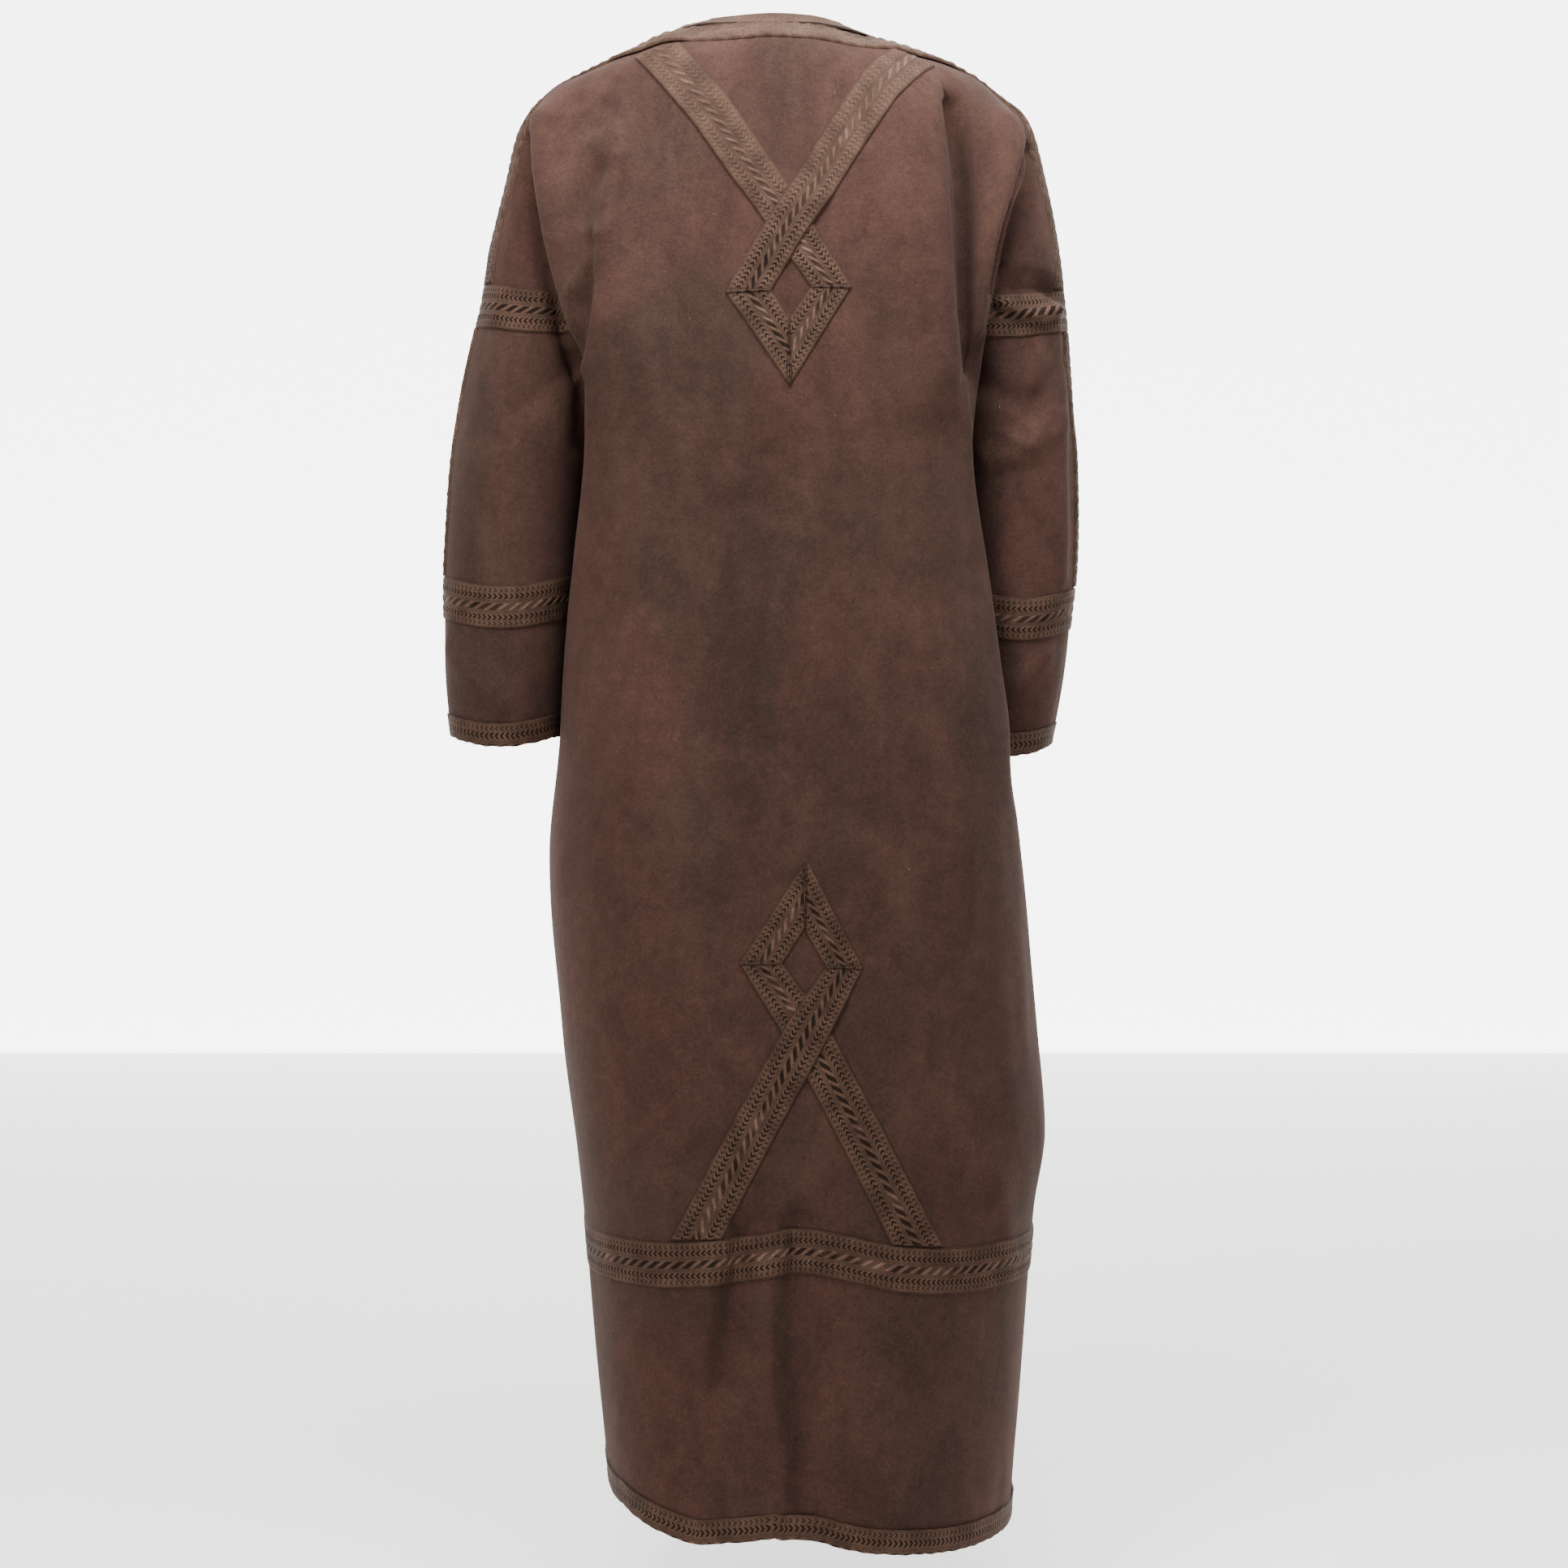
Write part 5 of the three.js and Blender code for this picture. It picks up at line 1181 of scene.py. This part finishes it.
def ribbon_lines(path, cuts, step):
    """Cross lines of a ribbon along a path of (x, z, width), mitred at each corner.

    Also gives the place along the weave at both edges of each line, and the lines at sharp corners.
    """
    halves = [p[2] / 2 for p in path]
    path = np.array([p[:2] for p in path], float)
    ways = path[1:] - path[:-1]
    lengths = np.linalg.norm(ways, axis=1)
    ways = ways / lengths[:, None]
    last = len(ways)
    edges = [cut_end(path[0], halves[0], ways[0], *cuts[0])]
    for i in range(1, last):
        edges.append(mitred(path[i], halves[i], ways[i - 1], ways[i]))
    edges.append(cut_end(path[last], halves[last], ways[-1], *cuts[1]))
    folded = [0 < i < last and np.dot(ways[i - 1], ways[i]) < SHARP for i in range(last + 1)]
    lines = []
    run = []
    seams = []
    far = 0.0
    for i, length in enumerate(lengths):
        if folded[i]:
            seams.append(len(lines))
        ahead = [[np.dot(edge - path[j], ways[i]) if folded[j] or j in (0, last) else 0.0
                  for edge in edges[j]] for j in (i, i + 1)]
        pieces = max(1, int(round(length / step)))
        for j in range(0 if i == 0 or folded[i] else 1, pieces + 1):
            t = j / pieces
            lines.append([mix(edges[i][k], edges[i + 1][k], t) for k in (0, 1)])
            run.append([far + mix(ahead[0][k], ahead[1][k] + length, t) for k in (0, 1)])
        far += length
    return np.array(lines), np.array(run), seams


CELLS = 8  # across a braid that is laid on the cloth
RIBBON_STEP = 4.0  # along the ribbons of the motifs
OVER_RIBBON = BRAID_BODY + 0.9
OVER_REACH = (50, 28)  # from its crossing: where a ribbon leaves the cloth, and where it is right up
OVER_END = BRAID_BODY + 0.7
END_FOLD = 0.6  # from the end of a ribbon at its apex to the ridge of its folded seam

# Corners of the motifs: x, z and the width of the braid, which is drawn in at the mitres
UPPER_CROSSING = [12.2, -197, 34.7]
UPPER_APEX = [12.8, -309.7, 32.2]
LOWER_CROSSING = [27.4, -896, 37.2]
LOWER_APEX = [26.3, -778.4, 30.8]


def motif(name, path, cuts, node, crossing=None, apex_first=True):
    """A ribbon of braid stitched on the back; its end at the apex is folded under in a raised seam."""
    lines, run, seams = ribbon_lines(path, cuts, RIBBON_STEP)
    points = np.zeros((len(lines), CELLS + 1, 3))
    normals = np.zeros_like(points)
    for i, (a, b) in enumerate(lines):
        for k, t in enumerate(np.linspace(0, 1, CELLS + 1)):
            points[i, k], normals[i, k] = seen_cloth.seen_from_back(*mix(a, b, t))
    lifts = np.zeros(len(lines))
    if crossing is not None:
        away = np.linalg.norm(lines.mean(axis=1) - np.array(crossing[:2]), axis=1)
        lifts = OVER_RIBBON * smooth_step(away, *OVER_REACH)
    along = lengths_along(points)
    raised = [along[i] for i in seams] + [END_FOLD if apex_first else along[-1] - END_FOLD]
    return braid_sheet(name, points, normals, along, node, lifts=lifts, run=run, seams=raised)


def seam(apex, shift):
    """The cut of a ribbon's end straight down through the apex of a motif."""
    return ([apex[0] + shift, apex[1]], [0, 1])


motif(
    "upper_ribbon_under",
    [[-104, -41, 38], [-57.6, -96.7, 38], [-25, -143.6, 37], [2.4, -181.7, 35.5], UPPER_CROSSING,
     [49, -253.3, 29.5], UPPER_APEX],
    [([-104, -42], [0.95, 0.31]), seam(UPPER_APEX, 0.2)], "upper_motif_under", apex_first=False)
motif(
    "upper_ribbon_over",
    [UPPER_APEX, [-23, -256.8, 34], UPPER_CROSSING, [34.7, -165, 36], [60, -123.4, 37],
     [90.6, -77.5, 38], [122, -45, 38]],
    [seam(UPPER_APEX, -0.2), ([122, -46], [0.93, -0.37])], "upper_motif_over", UPPER_CROSSING)
motif(
    "lower_ribbon_under",
    [[119.7, -1074, 38], [77, -989.5, 38], LOWER_CROSSING, [-11.8, -837.6, 31.4], LOWER_APEX],
    [([120, -1077.5], [1, -0.08]), seam(LOWER_APEX, -0.2)], "lower_motif_under", apex_first=False)
motif(
    "lower_ribbon_over",
    [LOWER_APEX, [59.8, -841, 28], LOWER_CROSSING, [-13.4, -970.3, 38], [-68.6, -1074, 38]],
    [seam(LOWER_APEX, 0.2), ([-68, -1070.8], [1, 0.03])], "lower_motif_over", LOWER_CROSSING)


def smooth_path(path, step):
    """Points and tangents along a centripetal curve through the path."""
    p = np.array(path, float)
    p = np.vstack([2 * p[0] - p[1], p, 2 * p[-1] - p[-2]])
    dense = []
    for i in range(len(p) - 3):
        four = p[i:i + 4]
        t = np.concatenate([[0], np.cumsum(np.linalg.norm(four[1:] - four[:-1], axis=1) ** 0.5)])
        for u in np.linspace(t[1], t[2], 24, endpoint=i == len(p) - 4):
            a = [mix(four[k], four[k + 1], (u - t[k]) / (t[k + 1] - t[k])) for k in range(3)]
            b = [mix(a[k], a[k + 1], (u - t[k]) / (t[k + 2] - t[k])) for k in range(2)]
            dense.append(mix(b[0], b[1], (u - t[1]) / (t[2] - t[1])))
    dense = np.array(dense)
    far = np.concatenate([[0], np.cumsum(np.linalg.norm(dense[1:] - dense[:-1], axis=1))])
    s = np.linspace(0, far[-1], int(far[-1] / step) + 1)
    even = np.stack([np.interp(s, far, dense[:, k]) for k in range(3)], axis=1)
    return even, unit(np.gradient(even, axis=0))


DRAPED_STEP = 5.0
DRAPED_RUFFLE = 0.8
END_REACH = (40, 22)  # the same from the end of a ribbon that a draped braid covers


def draped_braid(name, path, node, over=()):
    """Braid along a path in space, laid on the nearest cloth and over the ribbon ends at over (x)."""
    even, tangents = smooth_path(path, DRAPED_STEP)
    middle = CELLS // 2
    points = np.zeros((len(even), CELLS + 1, 3))
    normals = np.zeros_like(points)
    for i, (p, along) in enumerate(zip(even, tangents)):
        points[i, middle], normals[i, middle] = all_cloth.nearest(p)
        for direction in (-1, 1):
            for k in range(middle, middle + direction * middle, direction):
                way = unit(np.cross(normals[i, k], along)) * direction
                at, normal = all_cloth.nearest(points[i, k] + way * BRAID_WIDTH / CELLS)
                points[i, k + direction], normals[i, k + direction] = at, normal
    lifts = np.zeros(len(even))
    for x in over:
        lifts = np.maximum(lifts, OVER_END * smooth_step(np.abs(even[:, 0] - x), *END_REACH))
    return braid_sheet(name, points, normals, lengths_along(points), node, lifts=lifts,
                       ruffle=DRAPED_RUFFLE)


BAND_EDGE = BRAID_WIDTH / 2 + 0.8
SHOULDER_PATH = [
    [-261, -16, ARM_BAND["left"] + BAND_EDGE], [-252, -16, -185], [-242, -14, -145], [-235, -9, -110],
    [-227, -4, -82], [-215, -3, -66], [-192, -12, -48], [-163, -30, -38], [-128, -55, -34],
    [-88, -79, -29], [-45, -92, -24], [0, -95, -23], [45, -92, -24], [88, -79, -29],
    [128, -55, -34], [163, -30, -38], [192, -12, -48], [215, -3, -66], [230, -1, -84],
    [238, -4, -110], [245, -7, -145], [253, -9, -185], [259, -9, ARM_BAND["right"] + BAND_EDGE],
]
draped_braid(
    "shoulder_braid_strip", crumpled(np.array(SHOULDER_PATH, float)), "shoulder_braid",
    over=(-104, 122))
# The braid down the outer arm: at which angle of the arm's rings
ARM_BRAID_ANGLE = {"left": 180.0, "right": 172.0}
for one_side in SIDES:
    path = []
    for z in np.linspace(ARM_BAND[one_side] - BAND_EDGE, FOREARM_BAND[one_side] + BAND_EDGE, 11):
        x, y, forward, _ = arm_points(one_side, z, ARM_BRAID_ANGLE[one_side])
        path.append([SIGN[one_side] * float(x), forward + float(y), z])
    draped_braid(f"arm_braid_strip_{one_side}", path, f"arm_braid_{one_side}")


# ---------------------------------------------------------------- bindings
BINDING_GAP = 0.4
BINDING_BODY = 1.1
RUFFLE_PITCH = 13.5
OUTER_CELL = 10  # a cell of the U section on its outer side


def binding_profile():
    """The U section as (out of the cloth, into it from the edge), from the outside in."""
    outside = BINDING_GAP + BINDING_BODY
    inside = -WALL - outside
    middle = -WALL / 2
    half = outside - middle
    sides = np.linspace(0, BINDING_SIDE, 20)
    profile = [(0.1, BINDING_SIDE)] + [(outside, far) for far in sides[::-1]]
    for turn in np.linspace(0, math.pi, 9)[1:-1]:
        below = BINDING_GAP + half * 0.7 * math.sin(turn)
        profile.append((middle + half * math.cos(turn), -below))
    return profile + [(inside, far) for far in sides] + [(-WALL - 0.1, BINDING_SIDE)]


def ring_frames(edge, inward):
    """Directions into the cloth and out of it round a closed edge."""
    along = unit(np.roll(edge, -1, axis=0) - np.roll(edge, 1, axis=0))
    down = inward - edge
    down = unit(down - along * (down * along).sum(axis=1)[:, None])
    out = np.cross(along, down)
    return down, out if (out * (edge - edge.mean(axis=0))).sum() > 0 else -out


def folded_binding(name, edge, inward, node):
    """Braid folded in half over a closed edge: a soft U section swept round it."""
    down, normals = ring_frames(edge, inward)
    steps = np.linalg.norm(np.roll(edge, -1, axis=0) - edge, axis=1)
    along = np.concatenate([[0], np.cumsum(steps)])
    turns = 2 * math.pi * along[:-1] / along[-1]
    around = max(4, int(along[-1] / RUFFLE_PITCH))
    ruffle = 0.6 * np.sin(turns * around + 2.0 * np.sin(turns * 3))
    ruffle = ruffle + 0.4 * np.sin(turns * (around // 2) + 1)
    profile = binding_profile()
    rings = []
    for out, far in profile:
        loose = max(0.0, 1 - abs(far) / 7) * 0.9 + max(0.0, far / BINDING_SIDE - 0.75) * 2.0
        proud = 0.35 * loose * (1 + ruffle) * (1 if out > -WALL / 2 else -1)
        shift = ruffle * 0.7 * (1 - 0.5 * max(0.0, far) / BINDING_SIDE)
        rings.append(edge + normals * (out + proud)[:, None] + down * (far + shift)[:, None])
    grid = np.swapaxes(np.array(rings), 0, 1)
    flat = grid.reshape(-1, 3)
    faces = facing(grid_faces(*grid.shape[:2], wrap_rows=True), flat, OUTER_CELL, normals[0])
    piece = new_piece(name, flat, faces, "woven_braid", node)
    weave = np.repeat(along[:-1, None], len(profile), axis=1)
    lay_uv(piece, np.linspace(0, 1, len(profile)), weave, along[-1])
    return piece


for one_side in SIDES:
    rings = sleeve_grid(one_side, [CUFF[one_side], CUFF[one_side] + BINDING_SIDE], SLEEVE_AROUND)
    folded_binding(
        f"cuff_binding_braid_{one_side}", *rings, f"cuff_binding_{one_side}")
folded_binding(
    "hem_binding_braid", body_ring(HEM), body_ring(HEM + BINDING_SIDE), "hem_binding")
neck_columns = np.concatenate([np.linspace(0, TORSO_COLUMNS, TORSO_COLUMNS * 4 + 1),
                               np.linspace(TORSO_COLUMNS, TORSO_COLUMNS + ARM_COLUMNS, 13)[1:]])
folded_binding(
    "neck_binding_braid", crumpled(body_ring(0.0, neck_columns)),
    crumpled(body_ring(-9.0, neck_columns)), "neck_binding")


# ---------------------------------------------------------------- floor, light and camera
def stage_plane(name, corners, colour, glow):
    plane = new_mesh(name, corners, [(0, 1, 2, 3)])
    look = Look(name)
    plane.data.materials.append(look.finish(
        Base_Color=colour, Roughness=0.9, Emission_Color=(1, 1, 1), Emission_Strength=glow))


FLOOR = -1.42
FRONT, BACK = -6, 5  # of the floor; the backdrop stands at its back
SPAN = 12
TOP = 6
stage_plane("floor", [(-SPAN, FRONT, FLOOR), (SPAN, FRONT, FLOOR), (SPAN, BACK, FLOOR),
                      (-SPAN, BACK, FLOOR)], (0.9, 0.885, 0.86), 0.75)
stage_plane("backdrop", [(-SPAN, BACK, FLOOR), (SPAN, BACK, FLOOR), (SPAN, BACK, TOP),
                         (-SPAN, BACK, TOP)], (0.9, 0.9, 0.9), 5.0)

world = bpy.data.worlds.new("studio")
bpy.context.scene.world = world
world.use_nodes = True
background = world.node_tree.nodes["Background"]
background.inputs["Color"].default_value = (1.0, 0.99, 0.98, 1)
background.inputs["Strength"].default_value = 0.12


def area_light(name, place, aim, size, power, colour=(1, 1, 1)):
    data = bpy.data.lights.new(name, "AREA")
    data.shape = "RECTANGLE"
    data.size, data.size_y = size
    data.energy = power
    data.color = colour
    lamp = add_object(name, data)
    lamp.location = place
    way = Vector(aim) - Vector(place)
    lamp.rotation_euler = way.to_track_quat("-Z", "Y").to_euler()


area_light("key", (-0.75, -1.15, 0.8), (0.0, 0, -0.25), (0.6, 0.6), 30)
area_light("top", (0.15, -0.5, 0.55), (0, 0, -0.1), (1.0, 0.5), 43, (0.88, 0.95, 1.0))
area_light("fill", (-1.2, -2.2, 0.2), (0, 0, -0.6), (1.0, 1.0), 9)

# The camera is level; its focal length and the picture's width are in pixels
FOCAL = 3378
PICTURE = 1932
SENSOR = 36
camera_data = bpy.data.cameras.new("camera")
camera_data.sensor_width = SENSOR
camera_data.lens = SENSOR * FOCAL / PICTURE
camera = add_object("camera", camera_data)
camera.location = (0.008, -2.5, -0.684)
camera.rotation_euler = (math.pi / 2, 0, 0)
bpy.context.scene.camera = camera
